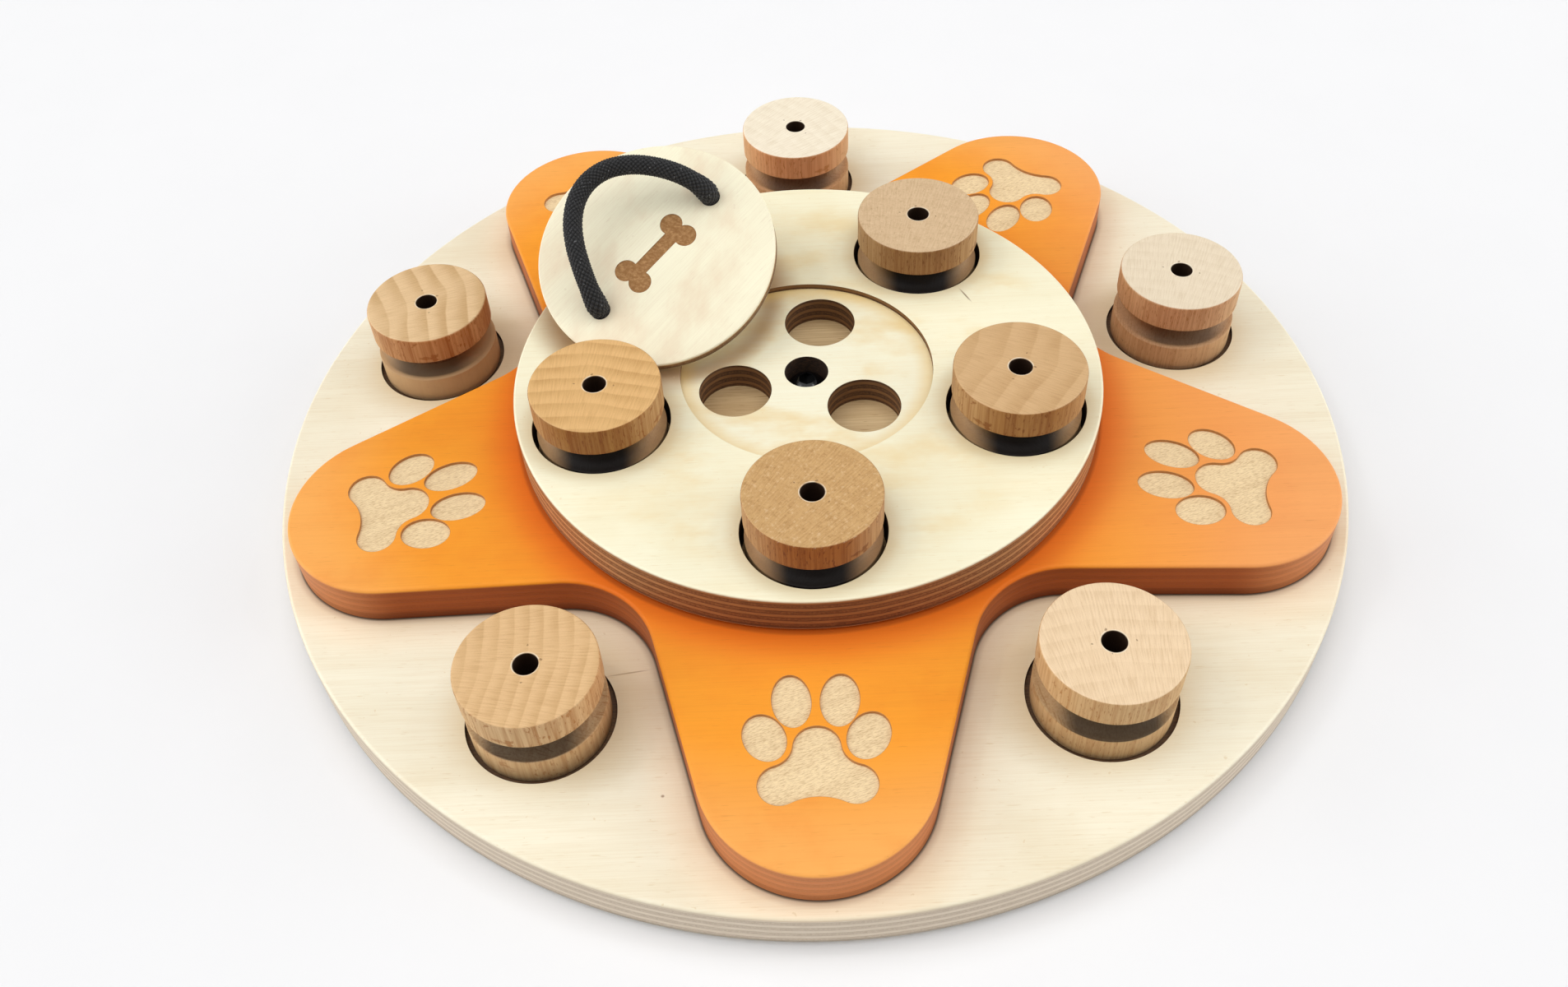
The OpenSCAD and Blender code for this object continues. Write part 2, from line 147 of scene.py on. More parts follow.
class FeederLid(bpy.types.PropertyGroup):
    """Sizes and lean of the lid and its rope"""
    thickness: length("Thickness", "Thickness of the lid", 3.5)
    play: length("Play", "Gap between the lid and the wall of its recess", 1.0)
    edge: length("Edge", "Rounding of the lid's rim", 0.5)
    lean_direction: angle("Lean direction", "Direction in which the lid slopes down", -104.0)
    lean_reach: length("Lean reach", "From the peg that the lid leans on to the lid's foot", 48.0)
    lean_shift: length("Lean shift", "Shift of the leaning lid to its side", -2.0)
    rope_hole: length("Rope hole", "Width of a rope hole", 5.7)
    rope_ring: length("Rope ring", "Distance of the rope holes from the lid's centre", 22.5)
    rope_turn: angle("Rope turn", "Turn of the rope handle on the lid", -32.0)
    rope_width: length("Rope", "Thickness of the rope", 5.5)
    braid: length("Braid", "Size of one stitch of the rope's braid", 1.35)
    braid_relief: length("Braid relief", "Height of a stitch of the braid", 0.55)
    swell: FloatProperty(name="Swell", default=0.16,
                         description="Share by which the rope swells above a hole of the lid")
    burn_depth: length("Burn depth", "Depth of the burnt bone mark", 0.2)
    bone_length: length("Bone", "Length of the burnt bone mark", 25.0)


class FeederColours(bpy.types.PropertyGroup):
    """Colours of the woods, the stain, the rope and the metal"""
    birch: tint("Birch", "Face of the base board", 253, 246, 222)
    birch_warm: tint("Warm birch", "Face of the turntable and the lid", 255, 250, 220)
    birch_line: tint("Birch line", "Fine lines in the birch faces", 222, 196, 148)
    ply_light: tint("Light ply", "Plies cut along the grain", 228, 214, 194)
    ply_dark: tint("Dark ply", "Plies cut across the grain", 194, 176, 154)
    rim_light: tint("Light rim", "Turntable plies cut along the grain", 216, 160, 104)
    rim_dark: tint("Dark rim", "Turntable plies cut across the grain", 138, 86, 48)
    stain: tint("Stain", "Orange stain on the star's face", 253, 162, 48)
    # Painted shade beside the turntable, and deeper stain in blotches over the face
    deep_stain_and_shade: tint("Deep stain", "Stain beside the turntable", 236, 120, 30)
    stain_pale: tint("Pale stain", "Stain on the tips of the arms", 254, 178, 92)
    stain_edge: tint("Stain on the edge", "Stain soaked into the star's sides", 168, 84, 36)
    # Painted light on the star's sides that face along X
    stain_lit_side: tint("Warm edge", "Sides of the star's hollows", 224, 128, 54)
    # Painted light on the sides of the arms' tips
    stain_lit_tip: tint("Lit tip edge", "Sides of the arms' tips", 214, 136, 84)
    bare: tint("Bare wood", "Floor of the paw prints", 248, 222, 176)
    scorch: tint("Scorch", "Burnt walls of engraved marks", 184, 124, 66)
    # Painted shade in the pockets and in the pegs' grooves and feet
    deep_shade: tint("Deep shade", "Walls of pockets, cups and grooves", 22, 14, 10)
    rope: tint("Rope", "Black rope", 37, 37, 39)
    bolt: tint("Bolt", "Black bolt", 6, 6, 7)
    zinc: tint("Zinc", "Zinc-plated steel", 190, 190, 186)
    nylon: tint("Nylon", "Slip washer", 232, 232, 226)
    rubber: tint("Rubber", "Foot pads", 34, 34, 36)
    floor: tint("Floor", "The pale floor", 245, 245, 246)


class FeederStage(bpy.types.PropertyGroup):
    """Camera and lamps"""
    distance: FloatProperty(name="Camera distance", default=0.4174, unit="LENGTH",
                            description="From the pivot's foot to the camera")
    elevation: angle("Elevation", "Camera's height above the horizon, seen from the pivot", 47.244)
    turn: angle("Turn", "Turn of the camera round the pivot", -0.4)
    roll: angle("Roll", "Roll of the camera", 3.232)
    aim: FloatVectorProperty(name="Aim", size=3, subtype="TRANSLATION", unit="LENGTH",
                             default=(-0.0077, -0.0146, 0.0015),
                             description="Point that the camera looks at")
    lens: FloatProperty(name="Lens", description="Focal length in millimetres", default=32.37)
    sky: FloatProperty(name="Sky", description="Strength of the light from all round",
                       default=0.42)
    even: FloatProperty(name="Even share", default=0.1, description="Share of that light that "
                        "is the same all round; the rest comes from wide windows on both sides")
    lamp: FloatProperty(name="Lamp", description="Strength of the soft overhead lamp",
                        default=1.87)
    lamp_softness: angle("Lamp softness", "Width of the overhead lamp, seen from below", 80.0)


# ---------------------------------------------------------------- surfaces

# Painted shade: tan rings round the pegs on a board, and a painted shadow under the leaning lid
PEG_SHADE_TINT = linear(226, 196, 142)
LID_SHADOW_TINT = linear(160, 112, 62)


def circle(radius, centre=(0.0, 0.0), steps=96):
    """Outline of a circle: centre + radius (cos t, sin t), with outward normal (cos t, sin t)."""
    t = np.linspace(0, 2 * np.pi, steps, endpoint=False)
    out = np.stack([np.cos(t), np.sin(t)], axis=1)
    return np.asarray(centre) + radius * out, out


def arc(centre, radius, start, end, steps=6):
    """Points on an arc: centre + radius (cos a, sin a), with a from start to end in degrees."""
    a = np.radians(np.linspace(start, end, steps + 1))
    return np.stack([centre[0] + radius * np.cos(a), centre[1] + radius * np.sin(a)], axis=1)


def mouth_arc(radius, mouth, top, steps=6):
    """Profile of the rounded mouth of a hole."""
    return arc((radius + mouth, top - mouth), mouth, 90, 180, steps)


def outline(points):
    """Gives a closed counter-clockwise line its outward normals.

    An edge (x, y) has the normal (y, -x); a point has the mean of its two edges' normals.
    """
    ahead = np.roll(points, -1, axis=0) - points
    edge = np.stack([ahead[:, 1], -ahead[:, 0]], axis=1)
    edge /= np.linalg.norm(edge, axis=1, keepdims=True)
    normal = edge + np.roll(edge, 1, axis=0)
    return points, normal / np.linalg.norm(normal, axis=1, keepdims=True)


def placed(shape, centre, turn):
    """Turns an outline by an angle in degrees about the origin, then moves it to the centre."""
    a = math.radians(turn)
    matrix = np.array([[math.cos(a), math.sin(a)], [-math.sin(a), math.cos(a)]])
    return shape[0] @ matrix + np.asarray(centre), shape[1] @ matrix


def grown(shape, distance):
    """The points of an outline moved out along their normals."""
    return shape[0] + distance * shape[1]


class Skin:
    """The surface of one piece: walls and flats, each with a finish, welded where they meet."""

    def __init__(self):
        self.points, self.faces, self.finishes, self.count = [], [], [], 0
        self.crest = None

    def add(self, points, faces, finish):
        self.points.append(points)
        self.faces += (faces + self.count).tolist()
        self.finishes += [finish] * len(faces)
        self.count += len(points)

    def grid(self, points, finish, ring=False):
        """Quads over a grid of points, closed round its columns, and round its rows for a ring."""
        rows, columns = points.shape[:2]
        i, j = np.mgrid[0:rows if ring else rows - 1, 0:columns]
        up, on = (i + 1) % rows, (j + 1) % columns
        faces = np.stack([i * columns + j, i * columns + on, up * columns + on, up * columns + j],
                         axis=-1)
        self.add(points.reshape(-1, 3), faces.reshape(-1, 4), finish)

    def wall(self, shape, profile, finish, ring=False):
        """Carries a profile round an outline, with the material on the profile's left.

        The profile is a list of points and arcs. Point (i, j) is outline point j moved out along
        its normal by the profile's offset i, at the profile's height i.
        """
        profile = np.concatenate([np.reshape(part, (-1, 2)) for part in profile])
        base, normal = shape
        flat = base[None] + profile[:, 0, None, None] * normal[None]
        height = np.broadcast_to(profile[:, 1, None, None], flat.shape[:2] + (1,))
        self.grid(np.concatenate([flat, height], axis=2), finish, ring)

    def side(self, rim, edge, foot, top, side, face, under=None):
        """The side of a board, with both rounded edges in the finish of its faces."""
        self.wall(rim, arc((-edge, foot + edge), edge, -90, 0), face if under is None else under)
        self.wall(rim, [(0, foot + edge), (0, top - edge)], side)
        self.wall(rim, arc((-edge, top - edge), edge, 0, 90), face)

    def flat(self, rim, holes, height, finish, up=True):
        """Fills the level between a rim and its holes by constrained Delaunay triangulation."""
        loops = [rim, *holes]
        starts = np.cumsum([0] + [len(x) for x in loops])
        faces = [list(range(s, s + len(x))) for s, x in zip(starts, loops)]
        points = [Vector(p) for p in np.concatenate(loops)]
        without_holes = 5
        made = geometry.delaunay_2d_cdt(points, [], faces, without_holes, WELD)
        self.points.append(np.array([(p[0], p[1], height) for p in made[0]]))
        self.faces += [[self.count + v for v in (face if up else reversed(face))]
                       for face in made[2]]
        self.finishes += [finish] * len(made[2])
        self.count += len(made[0])

    def mesh(self, name, matrix):
        """Welds what was added, rounds its shading and sets it in place."""
        mesh = bpy.data.meshes.new(name)
        mesh.from_pydata(np.concatenate(self.points).tolist(), [], self.faces)
        mesh.polygons.foreach_set("material_index", self.finishes)
        if self.crest is not None:
            mesh.attributes.new("crest", "FLOAT", "POINT").data.foreach_set("value", self.crest)
        welded = bmesh.new()
        welded.from_mesh(mesh)
        bmesh.ops.remove_doubles(welded, verts=welded.verts, dist=WELD)
        welded.to_mesh(mesh)
        welded.free()
        if matrix is not None:
            mesh.transform(matrix)
        mesh.shade_smooth()
        mesh.set_sharp_from_angle(angle=math.radians(38))
        return mesh


def stand_in(name, skin, materials, node, place=None):
    """Shows a skin in place of a CAD node, on the node's body."""
    mesh = skin.mesh(name, place)
    piece = bpy.data.objects.new(name, mesh)
    bpy.context.scene.collection.objects.link(piece)
    for material in materials:
        mesh.materials.append(material)
    level = piece.modifiers.new("Level faces", "WEIGHTED_NORMAL")
    level.keep_sharp = True
    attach(piece, BODY_OF[node])
    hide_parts(node)
    return piece


def polar(radius, degrees):
    """The point (radius cos a, radius sin a)."""
    a = math.radians(degrees)
    return np.array([radius * math.cos(a), radius * math.sin(a)])


def box_of(node):
    """Lowest and highest corner of a CAD node, as arrays."""
    lo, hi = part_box(node)
    return np.array(lo), np.array(hi)


def middle_of(node):
    """Middle of a CAD node, seen from above."""
    lo, hi = box_of(node)
    return ((lo + hi) / 2)[:2]


# ---------------------------------------------------------------- outlines

def arm_at(boards, k):
    """Direction of one of the star's arms, in degrees."""
    return 270 + math.degrees(boards.star_turn) + SECTOR * k


def star_centres(reach, boards):
    """Distances of the centres of an arm's round tip and of a hollow from the pivot.

    An arm's side leans by the taper from the arm's axis and touches the tip's circle. It meets
    the line between two arms at a distance worked out from both, and the hollow's circle
    touches both sides there.
    """
    half, taper, tip = math.radians(SECTOR / 2), boards.taper, reach - boards.tip_radius
    meet = ((boards.tip_radius / math.cos(taper) + tip * math.tan(taper))
            / (math.sin(half) + math.cos(half) * math.tan(taper)))
    return tip, meet + boards.bay_radius / math.sin(half + taper)


def star_outline(reach, boards):
    """Outline of the star: five round tips and five hollows, joined by straight sides."""
    tip_radius, bay_radius = boards.tip_radius, boards.bay_radius
    tip, bay = star_centres(reach, boards)
    tip_turn = 90 - math.degrees(boards.taper)
    bay_turn = 90 - SECTOR / 2 - math.degrees(boards.taper)
    parts = []
    for k in range(ARMS):
        a = arm_at(boards, k)
        b = a + SECTOR / 2
        parts.append(arc(polar(tip, a), tip_radius, a - tip_turn, a + tip_turn, 44))
        parts.append(arc(polar(bay, b), bay_radius, b + 180 + bay_turn, b + 180 - bay_turn, 24))
    return outline(np.concatenate(parts))


def ellipse(centre, across, along, turn, steps=44):
    """Outline of an ellipse: (across cos t, along sin t), turned and moved to its centre."""
    t = np.linspace(0, 2 * np.pi, steps, endpoint=False)
    return placed(outline(np.stack([across * np.cos(t), along * np.sin(t)], axis=1)), centre, turn)


def touching(first, first_radius, second, second_radius, radius):
    """Centre of a circle that touches two circles from outside, on the left of their line."""
    gap = np.linalg.norm(second - first)
    u = (second - first) / gap
    along = ((first_radius + radius) ** 2 - (second_radius + radius) ** 2 + gap ** 2) / (2 * gap)
    aside = math.sqrt((first_radius + radius) ** 2 - along ** 2)
    return first + along * u + aside * np.array([-u[1], u[0]])


def heading(start, end):
    """Direction from one point to another, in degrees."""
    return math.degrees(math.atan2(end[1] - start[1], end[0] - start[0]))


def paw_outlines():
    """Four toes and a pad round the origin, toes towards +Y, in metres.

    The toes are ellipses. The pad is a top circle and two lobes, joined by hollow arcs that
    touch them at the sides and at the heel.
    """
    top, top_radius = np.array([0, 1.5]) * MM, 5.6 * MM
    lobe, lobe_radius = np.array([8.7, -8.2]) * MM, 5.1 * MM
    side_radius, heel_radius = 6 * MM, 14 * MM
    side = touching(top, top_radius, lobe, lobe_radius, side_radius)
    heel = np.array([0, lobe[1] - math.sqrt((lobe_radius + heel_radius) ** 2 - lobe[0] ** 2)])
    half = np.concatenate([
        arc(heel, heel_radius, 90, heading(heel, lobe), 8),
        arc(lobe, lobe_radius, heading(lobe, heel), heading(lobe, side), 22),
        arc(side, side_radius, heading(side, lobe) + 360, heading(side, top) + 360, 8),
        arc(top, top_radius, heading(top, side), 90, 12),
    ])
    half = half[np.append(True, np.linalg.norm(np.diff(half, axis=0), axis=1) > WELD)]
    mirror = half[-2:0:-1] * [-1, 1]
    toes = [ellipse((side * x * MM, y * MM), across * MM, along * MM, side * turn)
            for side in (1, -1)
            for x, y, across, along, turn in ((5.75, 14.1, 4.7, 7.3, -5),
                                              (12.15, 4.3, 5, 6.5, -22))]
    return [*toes, outline(np.concatenate([half, mirror]))]


def bone_outline(full):
    """Outline of a plain bone along X: a straight shaft with two round knobs at each end."""
    knob, spread, shaft = 0.13 * full, 0.11 * full, 0.085 * full
    end = full / 2 - knob
    neck = math.degrees(math.asin((spread - shaft) / knob))
    notch = math.degrees(math.asin(spread / knob))
    right = np.concatenate([
        arc((end, -spread), knob, 180 - neck, 360 + notch, 28),
        arc((end, spread), knob, -notch, 180 + neck, 28)[1:],
    ])
    return outline(np.concatenate([right, -right]))


# ---------------------------------------------------------------- shader nodes

class Signal:
    """An output of a node; a sum with it adds a Math node to its tree."""

    def __init__(self, wiring, socket):
        self.wiring, self.socket = wiring, socket

    def __add__(self, other):
        return self.wiring.math("ADD", self, other)

    def __sub__(self, other):
        return self.wiring.math("SUBTRACT", self, other)

    def __mul__(self, other):
        return self.wiring.math("MULTIPLY", self, other)

    def __truediv__(self, other):
        return self.wiring.math("DIVIDE", self, other)

    def __abs__(self):
        return self.wiring.math("ABSOLUTE", self)


class Wiring:
    """A short way to add nodes to a tree; a socket takes a number, a colour or a signal."""

    def __init__(self, tree):
        self.tree = tree

    def feed(self, socket, value):
        if isinstance(value, Signal):
            self.tree.links.new(value.socket, socket)
        else:
            socket.default_value = value

    def add(self, kind, inputs, **settings):
        """A new node with its settings and inputs."""
        made = self.tree.nodes.new("ShaderNode" + kind)
        for name, value in settings.items():
            setattr(made, name, value)
        for name, value in inputs.items():
            self.feed(made.inputs[name], value)
        return made

    def node(self, kind, inputs, out=0, **settings):
        """One output of a new node."""
        return Signal(self, self.add(kind, inputs, **settings).outputs[out])

    def group(self, build, **inputs):
        """The outputs of a shared node group, by name."""
        inputs = {name.replace("_", " "): value for name, value in inputs.items()}
        made = self.add("Group", inputs, node_tree=build())
        return {socket.name: Signal(self, socket) for socket in made.outputs}

    def math(self, operation, *values):
        return self.node("Math", dict(enumerate(values)), operation=operation)

    def xyz(self, vector):
        return [Signal(self, socket) for socket in self.add("SeparateXYZ", {0: vector}).outputs]

    def length(self, x, y):
        """sqrt(x^2 + y^2)."""
        return self.math("SQRT", x * x + y * y)

    def reach(self, vector):
        """Distance from the Z axis."""
        return self.length(*self.xyz(vector)[:2])

    def turned(self, vector, turn=0.0, place=(0, 0, 0), scale=(1, 1, 1)):
        """Turns and scales a pattern's coordinates about the upright through a place."""
        at = self.node("VectorMath", {0: vector, 1: place}, operation="SUBTRACT")
        return self.node("Mapping", {"Vector": at, "Rotation": (0, 0, turn), "Scale": scale})

    def local(self, vector, matrix):
        """Takes coordinates back through a placing matrix: R^-1 p - R^-1 t."""
        back = matrix.inverted()
        return self.node("Mapping", {"Vector": vector, "Location": back.to_translation(),
                                     "Rotation": back.to_euler()})

    def noise(self, vector, scale, detail=2.0, rough=0.5, distortion=0.0):
        """Noise with so many cells to the metre, along all axes or along each."""
        scale = scale if isinstance(scale, tuple) else (scale,) * 3
        at = self.node("Mapping", {"Vector": vector, "Scale": scale})
        return self.node("TexNoise", {"Vector": at, "Scale": 1.0, "Detail": detail,
                                      "Roughness": rough, "Distortion": distortion})

    def span(self, value, low, high, to_low=0.0, to_high=1.0):
        """Moves a value smoothly from one range to another, and clamps it."""
        return self.node("MapRange", {"Value": value, "From Min": low, "From Max": high,
                                      "To Min": to_low, "To Max": to_high},
                         interpolation_type="SMOOTHSTEP")

    def either(self, share, first, second):
        """Mixes two numbers."""
        return self.node("Mix", {"Factor": share, "A": first, "B": second})

    def mix(self, share, first, second, blend="MIX"):
        """Mixes two colours, with the share kept from 0 to 1."""
        return self.node("Mix", {"Factor": share, 6: first, 7: second}, 2, data_type="RGBA",
                         blend_type=blend, clamp_factor=True)

    def over(self, colour, layer, value, low, high, to_low=0.0, to_high=1.0):
        """Lays a second colour over a first by a share that follows a value."""
        return self.mix(self.span(value, low, high, to_low, to_high), colour, layer)

    def dress(self, shader, colour, relief, depth, strength, roughness=None):
        """Gives a shader its colour, its relief as a bump and, where it varies, its roughness."""
        self.feed(shader["Base Color"], colour)
        if roughness is not None:
            self.feed(shader["Roughness"], roughness)
        self.feed(shader["Normal"], self.node("Bump", {"Height": relief, "Distance": depth,
                                                       "Strength": strength}))


def shared_group(name, inputs, outputs):
    """Makes a function that wires a node group into one that returns it, built only once.

    An input is given by its default number, or by its kind where it has none.
    """
    def decorate(wire):
        def group():
            tree = bpy.data.node_groups.get(name)
            if tree:
                return tree
            tree = bpy.data.node_groups.new(name, "ShaderNodeTree")
            for socket, default in inputs.items():
                kind = default if isinstance(default, str) else "Float"
                made = tree.interface.new_socket(socket, in_out="INPUT",
                                                 socket_type="NodeSocket" + kind)
                if kind == "Float":
                    made.default_value = default
            for socket, kind in outputs.items():
                tree.interface.new_socket(socket, in_out="OUTPUT",
                                          socket_type="NodeSocket" + kind)
            w = Wiring(tree)
            entry = tree.nodes.new("NodeGroupInput").outputs
            leave = tree.nodes.new("NodeGroupOutput").inputs
            given = [Signal(w, entry[socket]) for socket in inputs]
            for socket, value in zip(outputs, wire(w, *given)):
                w.feed(leave[socket], value)
            return tree
        return group
    return decorate


@shared_group("Veneer", {"Vector": "Vector", "Light": "Color", "Line": "Color", "Strength": 1.0},
              {"Color": "Color", "Height": "Float"})
def veneer_group(w, at, light, line, strength):
    """Peeled birch veneer with its grain along X: fine fibres, broad streaks and short pores."""
    fibres = w.noise(at, (45, 2300, 2300), detail=3, rough=0.6)
    streaks = w.noise(at, (7, 75, 75), detail=3, rough=0.55, distortion=0.4)
    blotches = w.noise(at, (14, 30, 30))
    pores = w.span(w.noise(at, (240, 2600, 2600), detail=1), 0.66, 0.78)
    tone = w.span(fibres, 0.35, 0.75, 0, 0.45) + w.span(streaks, 0.35, 0.75, 0, 0.5)
    tone = (tone + w.span(blotches, 0.4, 0.8, 0, 0.2)) * strength
    return w.mix(pores * strength, w.mix(tone, light, line), line), fibres - pores


@shared_group("Plies", {"Vector": "Vector", "Foot": 0.0, "Ply": 0.0014, "Light": "Color",
                        "Dark": "Color", "Glue": 0.5},
              {"Color": "Color", "Height": "Float"})
def plies_group(w, at, foot, ply, light, dark, glued):
    """The cut edge of plywood: plies by height, every other one across the grain, glue between."""
    level = (w.xyz(at)[2] - foot) / ply + (w.noise(at, (45, 45, 10)) - 0.5) * 0.5
    share = w.math("FRACT", level)
    across = w.math("MODULO", w.math("FLOOR", level), 2.0)
    joint = w.math("MINIMUM", share, w.math("SUBTRACT", 1.0, share))
    glue = w.span(joint, 0.05, 0.16, 1, 0)
    grain = w.either(across, w.noise(at, (260, 260, 3800), detail=3, rough=0.65),
                     w.noise(at, 1700, rough=0.6))
    tone = across * 0.55 + w.span(grain, 0.3, 0.75, 0, 0.45) + glue * glued
    return w.mix(tone, light, dark), grain - glue


@shared_group("Beech", {"Vector": "Vector", "Normal": "Vector", "Ring": 0.0042, "Rings": 0.5,
                        "Rays": 0.5, "Light": "Color", "Dark": "Color", "Side": "Color"},
              {"Color": "Color", "Height": "Float", "Roughness": "Float"})
def beech_group(w, at, normal, width, rings, rays, light, dark, side_light):
    """Solid beech with its fibres along Z and its pith far along -X.

    Growth rings darken towards their edge and then start again. Rays are thin radial sheets:
    fine lines across the end grain, short upright flecks on the sides.
    """
    pith = 0.09
    x, y, z = w.xyz(at)
    out = x + pith
    reach = w.length(out, y)
    radial = w.node("CombineXYZ", {0: reach, 1: w.math("ARCTAN2", y, out) * pith, 2: z})
    share = w.math("FRACT", reach / width + (w.noise(at, (48, 48, 12)) - 0.5) * 0.9)
    ring = w.span(share, 0.1, 0.9) * w.span(share, 0.9, 0.99, 1, 0)
    ring = ring * w.span(w.noise(at, (60, 60, 20)), 0.25, 0.7, 0.35, 1.0) * rings
    ray = w.noise(radial, (160, 2600, 420), rough=0.55)
    pores = w.noise(at, (3200, 3200, 260), detail=1)
    fibres = w.noise(radial, (1500, 1500, 42), detail=3, rough=0.6)
    flecks = w.span(ray, 0.56, 0.7) * 0.85
    end = w.span(abs(w.xyz(normal)[2]), 0.55, 0.85)
    face = ring + w.span(ray, 0.35, 0.72) * rays + w.span(pores, 0.5, 0.8, 0, 0.16)
    side = ring + flecks + w.span(fibres, 0.35, 0.72, 0, 0.6)
    side_dark = w.mix(0.85, side_light, dark, "MULTIPLY")
    colour = w.mix(w.either(end, side, face), w.mix(end, side_light, light),
                   w.mix(end, side_dark, dark))
    return colour, fibres - flecks * 0.8, w.span(ray, 0.3, 0.8, 0.62, 0.48)


@shared_group("Handling", {"Vector": "Vector"}, {"Smudge": "Float", "Speck": "Float"})
def wear_group(w, at):
    """Soft smudges and tiny specks from handling: a smudge mask and a speck mask."""
    return (w.span(w.noise(at, 38, detail=3), 0.45, 0.75),
            w.span(w.noise(at, 700, detail=1), 0.77, 0.8))


@shared_group("Beside the star", {"Vector": "Vector", "Turn": 0.0, "Tip": 0.117,
                                  "Tip radius": 0.028, "Taper": 0.28, "Hollow": 0.11,
                                  "Hollow radius": 0.025}, {"Distance": "Float"})
def star_group(w, at, turn, tip, tip_radius, taper, hollow, hollow_radius):
    """Distance from the star's outline, outside it, folded into half an arm.

    With the point p and the tip's centre c, and v = p - c: beside the tip it is |v| less the
    tip's radius, beside the straight side it is v . n less that radius, and in a hollow it is
    the hollow's radius less the distance from its centre.
    """
    half = math.radians(SECTOR / 2)
    x, y, _ = w.xyz(at)
    reach, fold = w.length(x, y), w.math("PINGPONG", w.math("ARCTAN2", y, x) - turn, half)
    px, py = reach * w.math("COSINE", fold), reach * w.math("SINE", fold)
    cos, sin = w.math("COSINE", taper), w.math("SINE", taper)
    vx = px - tip
    straight = w.math("GREATER_THAN", py * sin - vx * cos, 0.0)
    arm = w.either(straight, w.length(vx, py), vx * sin + py * cos) - tip_radius
    hx, hy = px - hollow * math.cos(half), py - hollow * math.sin(half)
    hollowed = w.math("GREATER_THAN", hy * sin - hx * cos, 0.0)
    return (w.either(hollowed, arm, hollow_radius - w.length(hx, hy)),)


def new_material(name, roughness, **sockets):
    """A material with a Principled shader whose plain values are set on its own sockets."""
    material = bpy.data.materials.new(name)
    material.use_nodes = True
    material.diffuse_color = (0.8, 0.7, 0.5, 1.0)
    shader = material.node_tree.nodes["Principled BSDF"].inputs
    for socket, value in {"Roughness": roughness, **sockets}.items():
        shader[socket.replace("_", " ")].default_value = value
    w = Wiring(material.node_tree)
    return material, w, shader, w.node("TexCoord", {}, "Object")


def veneer_material(name, light, line, turn=0.0, strength=1.0, place=None, stains=None,
                    burnt_rim=None, marks=(), shade_rings=(), star=None):
    """A sanded birch face with its grain turned by an angle, on a piece in its own place.

    Stains are tan clouds between two distances from the pivot. A burnt rim browns the rounded
    edges, by the height from the board's middle level. A mark is a short line of bark, given
    by its place, half length, half width and direction. A shade ring is painted shade round a
    peg or at the foot of the recess wall, or a painted shadow under the lid: a tan ring given
    by its place, its inner and outer radius, its strength and its colour. Beside a star, given
    by the inputs of its distance, the wood gets painted shade: dark in the corner and tan a
    little further out.
    """
    rough, worn = 0.55, 0.47
    material, w, shader, at = new_material(name, rough)
    if place is not None:
        at = w.local(at, place)
    grain = w.group(veneer_group, Vector=w.turned(at, -turn), Light=light, Line=line,
                    Strength=strength)
    wear = w.group(wear_group, Vector=at)
    colour = w.mix(wear["Smudge"] * 0.2, grain["Color"], line)
    if stains:
        inner, outer, tan = stains
        reach = w.reach(at)
        ring = w.span(reach, inner, inner + 3 * MM) * w.span(reach, outer - 14 * MM, outer, 1, 0)
        cloud = w.span(w.noise(at, (36, 70, 50), detail=4, rough=0.6), 0.42, 0.72, 0, 0.75)
        colour = w.mix(ring * cloud, colour, tan)
    if burnt_rim:
        middle, low, high, burnt = burnt_rim
        colour = w.over(colour, burnt, abs(w.xyz(at)[2] - middle), low, high, 1, 0)
    for x, y, long, wide, direction in marks:
        spot = w.turned(at, -math.radians(direction), (x * MM, y * MM, 0))
        spot = w.node("Mapping", {"Vector": spot, "Scale": (1 / long / MM, 1 / wide / MM, 0)})
        far = w.node("VectorMath", {0: spot}, "Value", operation="LENGTH")
        colour = w.over(colour, linear(112, 70, 36), far, 0.3, 1, 0.75, 0)
    # Painted shade: a tan ring round a peg, at a wall's foot or under the lid
    for x, y, inner, outer, share, tan in shade_rings:
        far = w.reach(w.turned(at, place=(x, y, 0)))
        shaded_share = w.span(far, inner - 6 * MM, inner) * w.span(far, inner, outer, share, 0)
        colour = w.mix(shaded_share, colour, tan)
    # Painted shade beside the star: dark in the corner, tan a little further out
    if star:
        far = w.group(star_group, Vector=at, **star)["Distance"]
        for wide, share, shade in ((14, 0.3, (255, 218, 172)), (2.5, 0.45, (150, 104, 70)),
                                   (0.7, 0.85, (64, 40, 24))):
            colour = w.over(colour, linear(*shade), far, 0, wide * MM, share, 0)
    w.dress(shader, w.mix(wear["Speck"] * 0.4, colour, line), grain["Height"], 0.00004, 0.6,
            w.span(wear["Smudge"], 0, 1, rough, worn))
    return material


